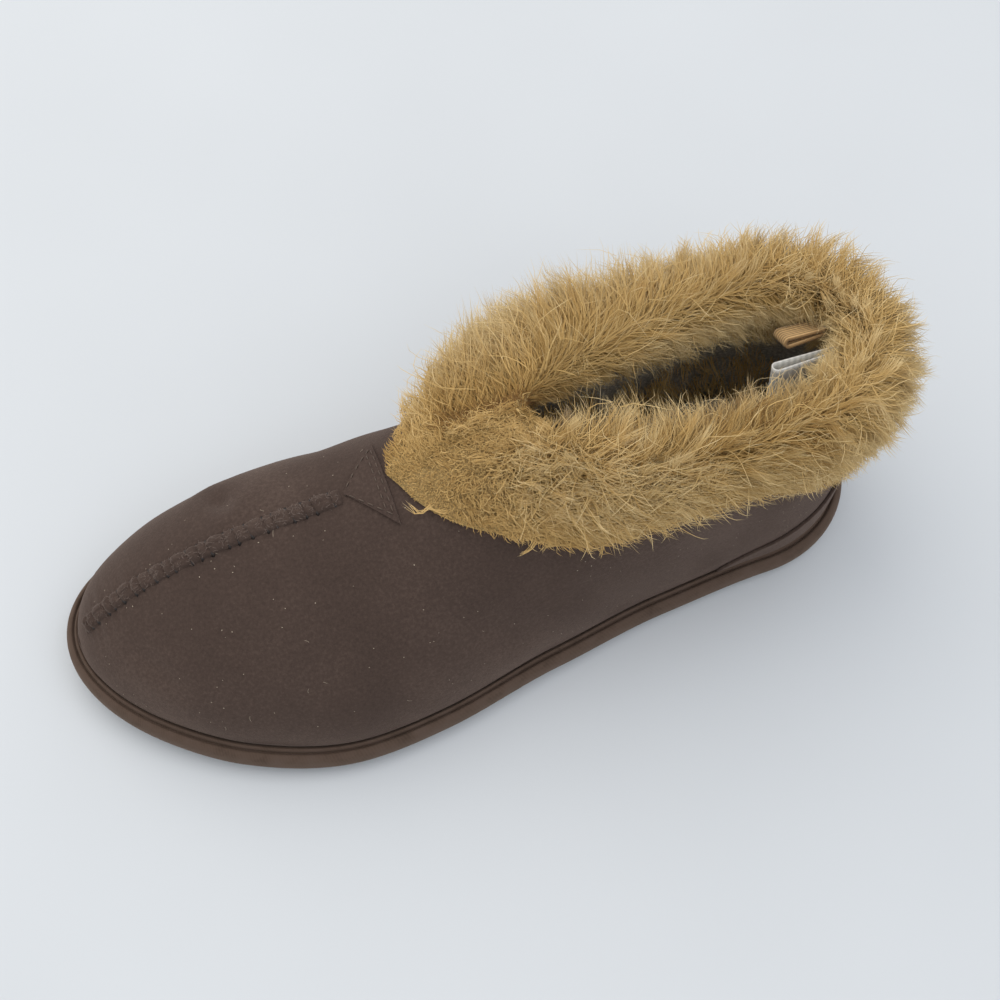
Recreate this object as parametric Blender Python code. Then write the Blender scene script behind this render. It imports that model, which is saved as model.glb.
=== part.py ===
"""Left house slipper: hollow suede upper, wrapped sole, insole and a folded faux fur cuff.

Blender 4.5, metres. +X points to the toe, +Y to the wearer's left (the outer side), +Z up.
The last is worked out first: sections from the heel to the toe, each one an arch that rises from
the sole, over the foot and down again. The upper, its seam, its patches and the cuff are all taken
from that one form.
"""

import math
import random

import bmesh
import bpy
from mathutils import Matrix, Vector

MM = 0.001
LATERAL = 1
MEDIAL = -1

# Driving dimensions
SOLE_LENGTH = 288 * MM
OUTSOLE_THICKNESS = 3.4 * MM
SOLE_HEIGHT = 13 * MM
TOE_SPRING = 4.5 * MM
TOE_SPRING_START = 0.70
ARCH_LIFT = 1.2 * MM
ARCH_SPAN = (0.31, 0.50)
FEATHER_INSET = 5 * MM
WALL = 2.6 * MM
GAP = 0.3 * MM
MERGE = 0.01 * MM
HEART = Vector((SOLE_LENGTH / 2, 0, 30 * MM))

# The sole's ends are half ellipses this long, as a share of its length.
HEEL_ROUND = 0.15
TOE_ROUND = 0.30
TOE_FALL_POWER = 0.62
HEEL_BACK_BULGE = 3 * MM
HEEL_BACK_LEAN = (18 * MM, 28 * MM)
HEEL_LEAN_REACH = 0.30

# One row for each section of the last, heel to toe. Lengths are in millimetres.
# swing: the sole's middle line, to the outer side. half: half the sole's width before its ends round
# off. arch: height of the last over the sole. ridge: the arch's top, to the outer side. flare and rise:
# how far out, and how far up the arch, the wall sets off. reach: how far out the top stays level, as a
# share of half the width. collar: height of the collar over the sole, where the last is cut.
SECTION_COLUMNS = ("share", "swing", "half", "arch", "ridge", "flare", "rise", "reach", "collar")
SECTIONS = (
    (0.00, 0.0, 39.0, 175.0, 0.0, 3.0, 0.30, 0.60, 87.0),
    (0.15, -0.5, 39.0, 165.0, 0.0, 3.0, 0.30, 0.60, 84.0),
    (0.30, 1.8, 39.5, 124.0, -2.0, 3.0, 0.35, 0.60, 82.0),
    (0.45, 4.2, 43.5, 82.0, -5.0, 3.0, 0.40, 0.56, 82.0),
    (0.60, 4.4, 51.5, 64.0, -8.0, 4.0, 0.46, 0.52, 82.0),
    (0.70, 3.6, 54.0, 56.0, -9.0, 4.0, 0.50, 0.50, 82.0),
    (0.84, -1.2, 53.0, 52.0, -10.0, 4.0, 0.52, 0.50, 82.0),
    (0.93, -6.2, 52.0, 50.0, -10.5, 4.0, 0.52, 0.50, 82.0),
    (1.00, -10.5, 52.0, 48.0, -10.5, 4.0, 0.52, 0.50, 82.0),
)
THROAT = 0.45
SOLE_STEPS = 36
REAR_STEPS = 20
FRONT_STEPS = 18
WALL_ROWS = 8

# The sole's side, bottom to top: how far in from the outline, and the height, in millimetres.
OUTSOLE_PROFILE = ((3.2, 0.0), (2.2, 0.7), (2.0, 3.4))
WRAP_PROFILE = (
    (1.6, 3.7),
    (0.4, 4.6),
    (0.0, 6.6),
    (0.1, 9.2),
    (0.9, 11.4),
    (2.2, 12.5),
    (3.2, 12.2),
    (3.9, 12.9),
    (4.7, 13.0),
)
INSOLE_PROFILE = ((8.8, 13.3), (8.4, 14.2), (8.7, 17.2), (10.5, 18.3))

# Toe seam: the two halves of the upper are whip stitched along the ridge, edges up.
SEAM_START = 0.655
SEAM_END = 0.985
SEAM_HALF_WIDTH = 3.0 * MM
SEAM_HEIGHT = 3.4 * MM
SEAM_STITCHES = 22
SEAM_DIP = 0.68

# Throat patch: a small triangle, its point at the end of the toe seam.
PATCH_POINT = 0.650
PATCH_BASE = 0.606
PATCH_HALF_WIDTH = 15 * MM
OVERLAY = 1.2 * MM

# Heel counter, one row for each height up the back: place up the section, and how far forward it goes.
COUNTER_COLUMNS = ("up", "share")
COUNTER_EDGE = (
    (0.005, 0.215),
    (0.040, 0.180),
    (0.070, 0.120),
    (0.105, 0.066),
    (0.150, 0.044),
    (0.236, 0.040),
)
COUNTER_STEPS = 9
COUNTER_LIFT = 1.1 * MM

# Fur cuff. Its lower edge, one row for each place along the foot: share, and place up the section.
CUFF_COLUMNS = ("share", "up")
CUFF_EDGE = (
    (0.00, 0.250),
    (0.10, 0.255),
    (0.15, 0.285),
    (0.20, 0.318),
    (0.25, 0.355),
    (0.30, 0.382),
    (0.35, 0.402),
    (0.40, 0.440),
    (0.45, 0.530),
    (0.50, 0.630),
    (0.54, 0.720),
    (0.575, 0.840),
    (0.60, 1.000),
)
CUFF_FRONT = 0.60
CUFF_RIBS = REAR_STEPS
CUFF_INSIDE = 0.62
CUFF_LIFT = 1.15 * MM
# Pile of the cuff, one row for each place down the band: thickness and length of the locks, in millimetres.
PILE_COLUMNS = ("down", "thick", "lock")
PILE = ((0.0, 8.5, 14.0), (0.35, 9.5, 13.0), (0.75, 7.5, 8.0), (1.0, 2.6, 4.0))
# Fullness of the pile, one row for each place round the collar, front (0) to heel (1).
FULL_COLUMNS = ("round", "outer", "inner")
FULL = ((0.0, 0.7, 0.7), (0.2, 0.8, 1.35), (0.35, 0.9, 1.25), (0.5, 1.0, 0.95), (0.8, 1.0, 0.9), (1.0, 0.95, 0.95))
OUTSIDE_STEPS = (1.0, 0.80, 0.55, 0.30, 0.05)
INSIDE_STEPS = (0.05, 0.50, 1.0)
TOP_ANGLES = (55, 125)
INSIDE_PILE = 0.62
LOCK_INSET = 1.3 * MM
LOCK_SEED = 7
# Which way the locks lean: out of the pile, back to the heel, and down.
OUTSIDE_LEAN = (0.65, 0.60, 0.30)
TOP_LEAN = (0.60, 0.40, -0.35)
TOP_SIZES = (0.85, 0.6, 0.3)
INSIDE_LEAN = (0.60, 0.20, 0.50)
LOCK_WANDER = 0.2
BARE_RIBS = 8

# Heel loop and label, sewn to the lining inside the collar.
LOOP_WIDTH = 8 * MM
LOOP_LENGTH = 15 * MM
LOOP_OPENING = 2.8 * MM
LOOP_DOWN = 0.2
LOOP_ASIDE = -6 * MM
LOOP_CLEAR = 4.9 * MM
LOOP_ROLL = 30
TAPE = 1.0 * MM
LABEL_WIDTH = 14 * MM
LABEL_LENGTH = 25 * MM
LABEL_OPENING = 3.4 * MM
LABEL_TAPE = 0.6 * MM
LABEL_DOWN = 0.46
LABEL_ASIDE = 5 * MM
LABEL_CLEAR = 2.7 * MM
LABEL_ROLL = -78


def column(table, names, name, share):
    """Value of a table's column at a share, on a smooth curve that keeps to the rows' rise and fall."""
    at = names.index(name)
    xs = [row[0] for row in table]
    ys = [row[at] for row in table]
    share = min(max(share, xs[0]), xs[-1])
    slopes = [(ys[i + 1] - ys[i]) / (xs[i + 1] - xs[i]) for i in range(len(xs) - 1)]
    ends = [0.0]
    for before, after in zip(slopes, slopes[1:]):
        ends.append(2 * before * after / (before + after) if before * after > 0 else 0.0)
    ends.append(slopes[-1] if slopes[-1] * ends[-1] >= 0 else 0.0)
    row = max(i for i in range(len(xs) - 1) if xs[i] <= share)
    span = xs[row + 1] - xs[row]
    t = (share - xs[row]) / span
    rise = ys[row + 1] - ys[row]
    curve = (3 - 2 * t) * t * t * rise
    lead = ends[row] * t * (1 - t) * (1 - t) - ends[row + 1] * t * t * (1 - t)
    return ys[row] + curve + lead * span


def section(name, share):
    return column(SECTIONS, SECTION_COLUMNS, name, share)


def round_off(distance):
    """Half ellipse: 0 at an end of the sole, 1 once the distance reaches 1."""
    return math.sqrt(max(0.0, 1 - (1 - min(distance, 1.0)) ** 2))


def end_round(share):
    return round_off(share / HEEL_ROUND) * round_off((1 - share) / TOE_ROUND)


def share_of(turn):
    """Place along the sole for an even turn from heel (0) to toe (1), closer together at both ends."""
    return (1 - math.cos(math.pi * turn)) / 2


def turn_of(share):
    return math.acos(1 - 2 * share) / math.pi


def spring(share):
    """How far the toe end curls up from the floor."""
    over = max(0.0, share - TOE_SPRING_START) / (1 - TOE_SPRING_START)
    return TOE_SPRING * over * over


def sole_edge(share, side, inset):
    """Point of the sole's outline, seen from above, moved in by inset."""
    x = inset + share * (SOLE_LENGTH - 2 * inset)
    half = section("half", share) * MM - inset
    return x, section("swing", share) * MM + side * half * end_round(share)


def last_controls(share, side):
    """The four control points of one side of a section of the last, from the sole to the ridge."""
    x, y = sole_edge(share, side, FEATHER_INSET)
    low = SOLE_HEIGHT + GAP + spring(share)
    fall = max(0.0, share - (1 - TOE_ROUND)) / TOE_ROUND
    arch = section("arch", share) * MM * max(1 - fall * fall, 0.012) ** TOE_FALL_POWER
    half = (section("half", share) * MM - FEATHER_INSET) * end_round(share)
    ridge = section("ridge", share) * MM
    back = max(0.0, 1 - share / HEEL_LEAN_REACH) ** 2
    flare = side * section("flare", share) * MM * end_round(share)
    return (
        Vector((x, y, low)),
        Vector((x - HEEL_BACK_BULGE * back, y + flare, low + section("rise", share) * arch)),
        Vector((x + HEEL_BACK_LEAN[0] * back, ridge + side * section("reach", share) * half, low + arch)),
        Vector((x + HEEL_BACK_LEAN[1] * back, ridge, low + arch)),
    )


def last_point(turn, side, up):
    """Point of the last's skin: turn runs from heel to toe, up from the sole (0) to the ridge (1)."""
    a, b, c, d = last_controls(share_of(turn), side)
    down = 1 - up
    return a * down**3 + b * 3 * down**2 * up + c * 3 * down * up**2 + d * up**3


def last_normal(turn, side, up):
    """Unit vector out of the last's skin."""
    step = 0.004
    along = last_point(min(turn + step, 1), side, up) - last_point(max(turn - step, 0), side, up)
    if turn < step:
        along = last_point(step, side, up) - last_point(step, -side, up)
    rise = last_point(turn, side, min(up + step, 1)) - last_point(turn, side, max(up - step, 0))
    return (along.cross(rise) * -side).normalized()


def skin(turn, side, up, out):
    """Point a distance out from the last's skin."""
    return last_point(turn, side, up) + last_normal(turn, side, up) * out


def collar_up(turn, side):
    """How far up its section the last is cut for the collar: 1 ahead of the throat."""
    share = share_of(turn)
    if share >= THROAT - 1e-6:
        return 1.0
    height = SOLE_HEIGHT + GAP + section("collar", share) * MM
    low, high = 0.0, 1.0
    for _ in range(40):
        middle = (low + high) / 2
        if last_point(turn, side, middle).z < height:
            low = middle
        else:
            high = middle
    return low


def material(name, colour, roughness):
    made = bpy.data.materials.new(name)
    made.use_nodes = True
    shader = made.node_tree.nodes["Principled BSDF"]
    shader.inputs["Base Color"].default_value = (*colour, 1)
    shader.inputs["Roughness"].default_value = roughness
    shader.inputs["Metallic"].default_value = 0.0
    return made


def face_out(bm):
    """Turns every face away from the middle of the shoe's room."""
    bmesh.ops.recalc_face_normals(bm, faces=bm.faces)
    out = sum((face.calc_center_median() - HEART).dot(face.normal) * face.calc_area() for face in bm.faces)
    if out < 0:
        bmesh.ops.reverse_faces(bm, faces=bm.faces)


def finish(name, bm, surface):
    """Turns a bmesh into a named, smooth shaded object with its material."""
    bmesh.ops.remove_doubles(bm, verts=bm.verts, dist=MERGE)
    bmesh.ops.dissolve_degenerate(bm, edges=bm.edges, dist=MERGE)
    face_out(bm)
    mesh = bpy.data.meshes.new(name)
    bm.to_mesh(mesh)
    bm.free()
    mesh.materials.append(surface)
    mesh.shade_smooth()
    mesh.set_sharp_from_angle(angle=math.radians(50))
    made = bpy.data.objects.new(name, mesh)
    bpy.context.scene.collection.objects.link(made)
    return made


def add_sheet(bm, across, along, place):
    """Adds a grid whose points go where place(a, b) puts them, a and b each running from 0 to 1."""
    grid = bmesh.ops.create_grid(bm, x_segments=across, y_segments=along, size=1)
    for vert in grid["verts"]:
        vert.co = place((vert.co.x + 1) / 2, (vert.co.y + 1) / 2)
    return grid["verts"]


def thicken(made, thickness, offset):
    """Gives a sheet its wall: offset -1 to the inside of its skin, 1 to the outside."""
    wall = made.modifiers.new("Wall", "SOLIDIFY")
    wall.thickness = thickness
    wall.offset = offset
    wall.use_even_offset = True
    wall.use_quality_normals = True
    return made


def stacked(name, profile, floor_of, surface):
    """Solid with the sole's outline: a flat slab drawn up through the rows of its side's profile."""
    bm = bmesh.new()
    share_at = bm.verts.layers.float.new("share")
    side_at = bm.verts.layers.float.new("side")

    def lay(faces, inset, height):
        for vert in {corner for face in faces for corner in face.verts}:
            x, y = sole_edge(vert[share_at], vert[side_at], inset * MM)
            vert.co = (x, y, height * MM + floor_of(vert[share_at], height * MM))

    for vert in bmesh.ops.create_grid(bm, x_segments=SOLE_STEPS, y_segments=1, size=1)["verts"]:
        vert[share_at] = share_of((vert.co.x + 1) / 2)
        vert[side_at] = LATERAL if vert.co.y > 0 else MEDIAL
    layer = list(bm.faces)
    lay(layer, *profile[0])
    for row, (inset, height) in enumerate(profile[1:]):
        drawn = bmesh.ops.extrude_face_region(bm, geom=layer)["geom"]
        if row:
            bmesh.ops.delete(bm, geom=layer, context="FACES_ONLY")
        layer = [part for part in drawn if isinstance(part, bmesh.types.BMFace)]
        lay(layer, inset, height)
    bm.verts.layers.float.remove(share_at)
    bm.verts.layers.float.remove(bm.verts.layers.float["side"])
    return finish(name, bm, surface)


def outsole_floor(share, height):
    """Toe spring, and the shallow arch under the waist that leaves heel and forefoot on the floor."""
    start, end = ARCH_SPAN
    waist = min(max((share - start) / (end - start), 0.0), 1.0)
    arch = ARCH_LIFT * math.sin(math.pi * waist) ** 2 * (1 - height / OUTSOLE_THICKNESS)
    return spring(share) + arch


def sole_floor(share, height):
    return spring(share)


def build_upper(surface):
    """Both halves of the upper, joined along the ridge ahead of the throat and open at the collar."""
    bm = bmesh.new()
    throat = turn_of(THROAT)
    steps = REAR_STEPS + FRONT_STEPS
    for side in (LATERAL, MEDIAL):

        def place(along, rise, side=side):
            step = round(along * steps)
            if step <= REAR_STEPS:
                turn = turn_of(THROAT * share_of(step / REAR_STEPS))
            else:
                turn = throat + (1 - throat) * (step - REAR_STEPS) / FRONT_STEPS
            return last_point(turn, side, rise * collar_up(turn, side))

        add_sheet(bm, steps, WALL_ROWS, place)
    return thicken(finish("upper", bm, surface), WALL, -1)


def ridge_width_up(turn, side, width):
    """Place up the section that lies a width away from the ridge."""
    low, high = 0.0, 1.0
    ridge = last_point(turn, side, 1)
    for _ in range(30):
        middle = (low + high) / 2
        if (last_point(turn, side, middle) - ridge).length > width:
            low = middle
        else:
            high = middle
    return low


def build_seam(surface):
    """Raised whip stitched seam along the ridge: a bead that dips between its stitches."""
    bm = bmesh.new()
    start, end = turn_of(SEAM_START), turn_of(SEAM_END)
    rows = SEAM_STITCHES * 2

    def place(along, around):
        row = round(along * rows)
        turn = start + (end - start) * along
        full = 1.0 if row % 2 else SEAM_DIP
        if row in (0, rows):
            full = SEAM_DIP * SEAM_DIP
        corner = round(around * 8)
        across = (1, 0.96, 0.62, 0, -0.62, -0.96, -1, 0, 1)[corner]
        height = (0, 0.62, 0.93, 1, 0.93, 0.62, 0, 0, 0)[corner]
        side = LATERAL if across >= 0 else MEDIAL
        up = ridge_width_up(turn, side, abs(across) * SEAM_HALF_WIDTH * (0.8 + 0.2 * full))
        return skin(turn, side, up, GAP + height * SEAM_HEIGHT * full)

    add_sheet(bm, rows, 8, place)
    bmesh.ops.remove_doubles(bm, verts=bm.verts, dist=MERGE)
    bmesh.ops.holes_fill(bm, edges=[edge for edge in bm.edges if edge.is_boundary])
    return finish("toe_seam", bm, surface)


def build_patch(surface):
    """Triangular patch at the throat, lying on the ridge behind the toe seam."""
    bm = bmesh.new()

    def place(along, across):
        share = PATCH_POINT + (PATCH_BASE - PATCH_POINT) * along
        turn = turn_of(share)
        lean = 2 * across - 1
        side = LATERAL if lean >= 0 else MEDIAL
        width = abs(lean) * PATCH_HALF_WIDTH * max(along, 0.04)
        return skin(turn, side, ridge_width_up(turn, side, width), GAP)

    add_sheet(bm, 6, 8, place)
    return thicken(finish("throat_patch", bm, surface), OVERLAY, 1)


def build_counter(surface):
    """Heel counter: a strip up the back that spreads forward along the sole on both sides."""
    bm = bmesh.new()
    first, last = COUNTER_EDGE[0][0], COUNTER_EDGE[-1][0]

    def place(rise, across):
        up = first + (last - first) * rise
        reach = turn_of(column(COUNTER_EDGE, COUNTER_COLUMNS, "share", up))
        lean = 2 * across - 1
        side = LATERAL if lean >= 0 else MEDIAL
        return skin(abs(lean) * reach, side, up, COUNTER_LIFT)

    add_sheet(bm, COUNTER_STEPS, 2 * COUNTER_STEPS, place)
    return thicken(finish("heel_counter", bm, surface), OVERLAY, 1)


def cuff_rib(rib):
    """(turn and place up at the collar, the same at the cuff's lower edge, sides) of one rib of the cuff."""
    round_trip = rib % (2 * CUFF_RIBS)
    share = round_trip / CUFF_RIBS
    sides = (LATERAL,) if 0 < share < 1 else (MEDIAL,)
    if share > 1:
        share = 2 - share
    if share in (0, 1):
        sides = (LATERAL, MEDIAL)
    collar = turn_of(THROAT * share_of(1 - share))
    edge = turn_of(CUFF_FRONT * share_of(1 - share))
    up = column(CUFF_EDGE, CUFF_COLUMNS, "up", share_of(edge))
    return collar, edge, up, sides


def cuff_frame(rib, down):
    """(point on the last's skin, way out, way up to the collar) a share down a rib of the cuff."""
    collar, edge, low, sides = cuff_rib(rib)
    turn = collar + (edge - collar) * down
    points, outs, ups = [], [], []
    for side in sides:
        top = collar_up(collar, side)
        place = top + (low - top) * down
        ahead = collar + (edge - collar) * (down + 0.05)
        below = last_point(ahead, side, top + (low - top) * (down + 0.05))
        points.append(last_point(turn, side, place))
        outs.append(last_normal(turn, side, place))
        ups.append((points[-1] - below).normalized())
    count = len(sides)
    return sum(points, Vector()) / count, sum(outs, Vector()).normalized(), sum(ups, Vector()).normalized()


def pile(name, rib, down):
    """Thickness of the pile, or length of its locks, a share down a rib of the cuff."""
    around = rib % (2 * CUFF_RIBS) / CUFF_RIBS
    full = column(FULL, FULL_COLUMNS, "outer" if around < 1 else "inner", min(around, 2 - around))
    return column(PILE, PILE_COLUMNS, name, down) * full * MM


def inside_pile(down):
    """Thickness of the pile inside the collar."""
    return column(PILE, PILE_COLUMNS, "thick", down) * INSIDE_PILE * MM


def cuff_path(rib, fur):
    """Points across the cuff from its outer lower edge, over the collar and down inside. With fur they
    lie on top of the pile, and without it on the cloth that clears the upper."""
    path = []
    for down in OUTSIDE_STEPS:
        point, out, _ = cuff_frame(rib, down)
        path.append(point + out * (CUFF_LIFT + (pile("thick", rib, down) if fur else 0)))
    point, out, up = cuff_frame(rib, 0)
    middle = point - out * WALL / 2
    for angle in TOP_ANGLES:
        turn = math.radians(angle)
        if fur:
            reach = WALL / 2 + CUFF_LIFT + pile("thick", rib, 0)
            path.append(middle + (out * math.cos(turn) + up * math.sin(turn)) * reach)
        else:
            lean = 1 if angle < 90 else -1
            path.append(middle + out * lean * (WALL / 2 + CUFF_LIFT) + up * CUFF_LIFT)
    for down in INSIDE_STEPS:
        point, out, _ = cuff_frame(rib, down * CUFF_INSIDE)
        depth = WALL + CUFF_LIFT + (inside_pile(down) if fur else 0)
        path.append(point - out * depth)
    return path


def lock_along(rib, step, normal, luck):
    """Way and length of the lock that grows on a face of the pile: it leans back to the heel and down."""
    share = abs(1 - abs(rib / CUFF_RIBS - 1))
    _, _, up = cuff_frame(rib, 0.3)
    back = (cuff_frame(rib + 0.5, 0.3)[0] - cuff_frame(rib - 0.5, 0.3)[0]).normalized()
    back *= math.sin(math.pi * share) * (1 if rib < CUFF_RIBS else -1)
    outside = len(OUTSIDE_STEPS) - 1
    inside = outside + len(TOP_ANGLES) + 1
    if step < outside:
        way, size, down = OUTSIDE_LEAN, 1.0, OUTSIDE_STEPS[int(step)]
    elif step < inside:
        way, size, down = TOP_LEAN, TOP_SIZES[int(step) - outside], 0.0
    else:
        way, size, down = INSIDE_LEAN, 0.42, 0.6
        if abs(rib - CUFF_RIBS) < BARE_RIBS:
            return Vector()
    size *= 0.6 + 0.8 * luck.random()
    wander = Vector((luck.uniform(-1, 1), luck.uniform(-1, 1), luck.uniform(-1, 1))) * LOCK_WANDER
    return (normal * way[0] + back * way[1] - up * way[2] + wander) * pile("lock", rib, down) * size


def build_cuff(surface):
    """Fur cuff: cloth folded over the collar, with its pile and with locks drawn out of the pile."""
    bm = bmesh.new()
    rib_at = bm.faces.layers.float.new("rib")
    step_at = bm.faces.layers.float.new("step")
    ribs = 2 * CUFF_RIBS
    steps = len(OUTSIDE_STEPS) + len(TOP_ANGLES) + len(INSIDE_STEPS) - 1
    for fur in (False, True):
        paths = [cuff_path(rib, fur) for rib in range(ribs + 1)]
        grid = bmesh.ops.create_grid(bm, x_segments=ribs, y_segments=steps, size=1)["verts"]
        for face in {face for vert in grid for face in vert.link_faces}:
            middle = face.calc_center_median()
            face[rib_at] = (middle.x + 1) / 2 * ribs
            face[step_at] = (middle.y + 1) / 2 * steps if fur else -1
        for vert in grid:
            vert.co = paths[round((vert.co.x + 1) / 2 * ribs)][round((vert.co.y + 1) / 2 * steps)]
    bmesh.ops.remove_doubles(bm, verts=bm.verts, dist=MERGE)
    rims = [edge for edge in bm.edges if edge.is_boundary]
    for end in (0, -1):
        ends = {tuple(paths[rib][end].to_tuple(5)) for rib in range(ribs)}
        cloth = {tuple(cuff_path(rib, False)[end].to_tuple(5)) for rib in range(ribs)}
        both = ends | cloth
        bmesh.ops.bridge_loops(bm, edges=[e for e in rims if all(v.co.to_tuple(5) in both for v in e.verts)])
    face_out(bm)
    grown = [face for face in bm.faces if face[step_at] > 0]
    grown.sort(key=lambda face: (face[rib_at], face[step_at]))
    luck = random.Random(LOCK_SEED)
    locks = [lock_along(face[rib_at], face[step_at], face.normal, luck) for face in grown]
    for face, lock in zip(grown, locks):
        if lock.length == 0:
            continue
        if face[step_at] < len(OUTSIDE_STEPS) + len(TOP_ANGLES):
            bmesh.ops.inset_individual(bm, faces=[face], thickness=LOCK_INSET, use_even_offset=True)
            bmesh.ops.translate(bm, verts=face.verts, vec=lock * 0.5)
            lock = lock * 0.5
        tip = bmesh.ops.poke(bm, faces=[face])["verts"]
        bmesh.ops.translate(bm, verts=tip, vec=lock)
    bm.faces.layers.float.remove(rib_at)
    bm.faces.layers.float.remove(bm.faces.layers.float["step"])
    return finish("fur_cuff", bm, surface)


def sewn_in(made, down, clear, aside, roll):
    """Sets a folded tape on the pile inside the heel, pointing forward into the opening."""
    point, out, _ = cuff_frame(CUFF_RIBS, down * CUFF_INSIDE)
    base = point - out * (WALL + clear + inside_pile(down)) + Vector((0, aside, 0))
    made.data.transform(Matrix.Translation(base) @ Matrix.Rotation(math.radians(roll), 4, "X"))
    return made


def build_tape_loop(name, width, length, opening, tape, surface):
    """Tape folded back on itself, ends together at the origin, standing out along +X."""
    bm = bmesh.new()
    turns = 8

    def place(along, across):
        half = opening / 2
        angle = math.pi * (along - 0.5)
        nose = length - half
        x = nose + half * math.cos(angle)
        z = half * math.sin(angle)
        if along < 0.5 / turns or along > 1 - 0.5 / turns:
            x = 0.0
            z = math.copysign(tape * 0.8, z)
        return Vector((x, (across - 0.5) * width, z))

    add_sheet(bm, turns, 1, place)
    return thicken(finish(name, bm, surface), tape, 0)


def centre_all():
    """Moves every piece so that the origin lies on the floor, under the middle of the whole shoe."""
    bpy.context.view_layer.update()
    graph = bpy.context.evaluated_depsgraph_get()
    corners = [Vector(corner) for made in bpy.data.objects for corner in made.evaluated_get(graph).bound_box]
    for axis in "xy":
        low = min(getattr(corner, axis) for corner in corners)
        high = max(getattr(corner, axis) for corner in corners)
        shift = Vector((0, 0, 0))
        setattr(shift, axis, -(low + high) / 2)
        for made in bpy.data.objects:
            made.data.transform(Matrix.Translation(shift))


def main():
    for old in list(bpy.data.objects):
        bpy.data.objects.remove(old, do_unlink=True)
    suede = material("brown microsuede", (0.095, 0.068, 0.055), 0.9)
    wrap = material("brown twill tape", (0.085, 0.058, 0.045), 0.85)
    rubber = material("dark outsole", (0.035, 0.027, 0.023), 0.8)
    plush = material("insole plush", (0.30, 0.20, 0.09), 0.95)
    fur = material("tan faux fur", (0.40, 0.27, 0.11), 0.8)
    tape = material("striped woven tape", (0.30, 0.19, 0.10), 0.8)
    satin = material("pale satin label", (0.62, 0.60, 0.56), 0.5)

    stacked("outsole", OUTSOLE_PROFILE, outsole_floor, rubber)
    stacked("sole_wrap", WRAP_PROFILE, sole_floor, wrap)
    stacked("insole", INSOLE_PROFILE, sole_floor, plush)
    build_upper(suede)
    build_seam(suede)
    build_patch(suede)
    build_counter(suede)
    build_cuff(fur)
    loop = build_tape_loop("heel_loop", LOOP_WIDTH, LOOP_LENGTH, LOOP_OPENING, TAPE, tape)
    sewn_in(loop, LOOP_DOWN, LOOP_CLEAR, LOOP_ASIDE, LOOP_ROLL)
    label = build_tape_loop("side_label", LABEL_WIDTH, LABEL_LENGTH, LABEL_OPENING, LABEL_TAPE, satin)
    sewn_in(label, LABEL_DOWN, LABEL_CLEAR, LABEL_ASIDE, LABEL_ROLL)
    centre_all()


main()
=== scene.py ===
"""Looks of a left house slipper: brushed suede upper, sole edge wrapped in tape, long-haired faux fur cuff.

Laid out as an add-on and run as a script. The last is worked out from the same sections as the solids,
so every sheet, seam, stitch and hair grows on that one form. Metres, +X to the toe, +Y to the outer side.
"""

import math

import bmesh
import bpy
import numpy as np
from bpy.props import FloatProperty, FloatVectorProperty, IntProperty, PointerProperty
from mathutils import Matrix, Vector


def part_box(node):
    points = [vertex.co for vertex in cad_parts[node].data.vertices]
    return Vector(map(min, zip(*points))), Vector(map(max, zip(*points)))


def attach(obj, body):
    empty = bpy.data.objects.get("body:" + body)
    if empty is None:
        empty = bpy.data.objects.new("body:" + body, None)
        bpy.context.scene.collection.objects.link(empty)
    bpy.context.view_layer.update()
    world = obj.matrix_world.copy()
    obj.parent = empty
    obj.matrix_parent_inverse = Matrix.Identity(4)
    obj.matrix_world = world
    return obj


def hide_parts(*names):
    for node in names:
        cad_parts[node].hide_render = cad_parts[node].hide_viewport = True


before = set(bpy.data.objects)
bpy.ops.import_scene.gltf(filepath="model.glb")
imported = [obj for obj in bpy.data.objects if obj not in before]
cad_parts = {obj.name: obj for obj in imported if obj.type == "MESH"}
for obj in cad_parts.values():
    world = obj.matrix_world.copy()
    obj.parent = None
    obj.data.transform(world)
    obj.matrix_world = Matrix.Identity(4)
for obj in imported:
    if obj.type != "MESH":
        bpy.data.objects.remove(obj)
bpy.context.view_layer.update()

bl_info = {
    "name": "House slipper",
    "version": (1, 0, 0),
    "blender": (4, 5, 0),
    "location": "3D View > Sidebar > Slipper",
    "description": "Builds the visible surfaces of a faux fur lined slipper around its solids",
    "category": "Object",
}

MM = 0.001
LATERAL = 1
MEDIAL = -1

# The last, as in the solids
SOLE_LENGTH = 288 * MM
SOLE_HEIGHT = 13 * MM
OUTSOLE_THICKNESS = 3.4 * MM
TOE_SPRING = 4.5 * MM
TOE_SPRING_START = 0.70
ARCH_LIFT = 1.2 * MM
ARCH_SPAN = (0.31, 0.50)
FEATHER_INSET = 5 * MM
WALL = 2.6 * MM
GAP = 0.3 * MM
MERGE = 0.01 * MM
HEEL_ROUND = 0.15
TOE_ROUND = 0.30
TOE_FALL_POWER = 0.62
HEEL_BACK_BULGE = 3 * MM
HEEL_BACK_LEAN = (18 * MM, 28 * MM)
HEEL_LEAN_REACH = 0.30
THROAT = 0.45
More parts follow.
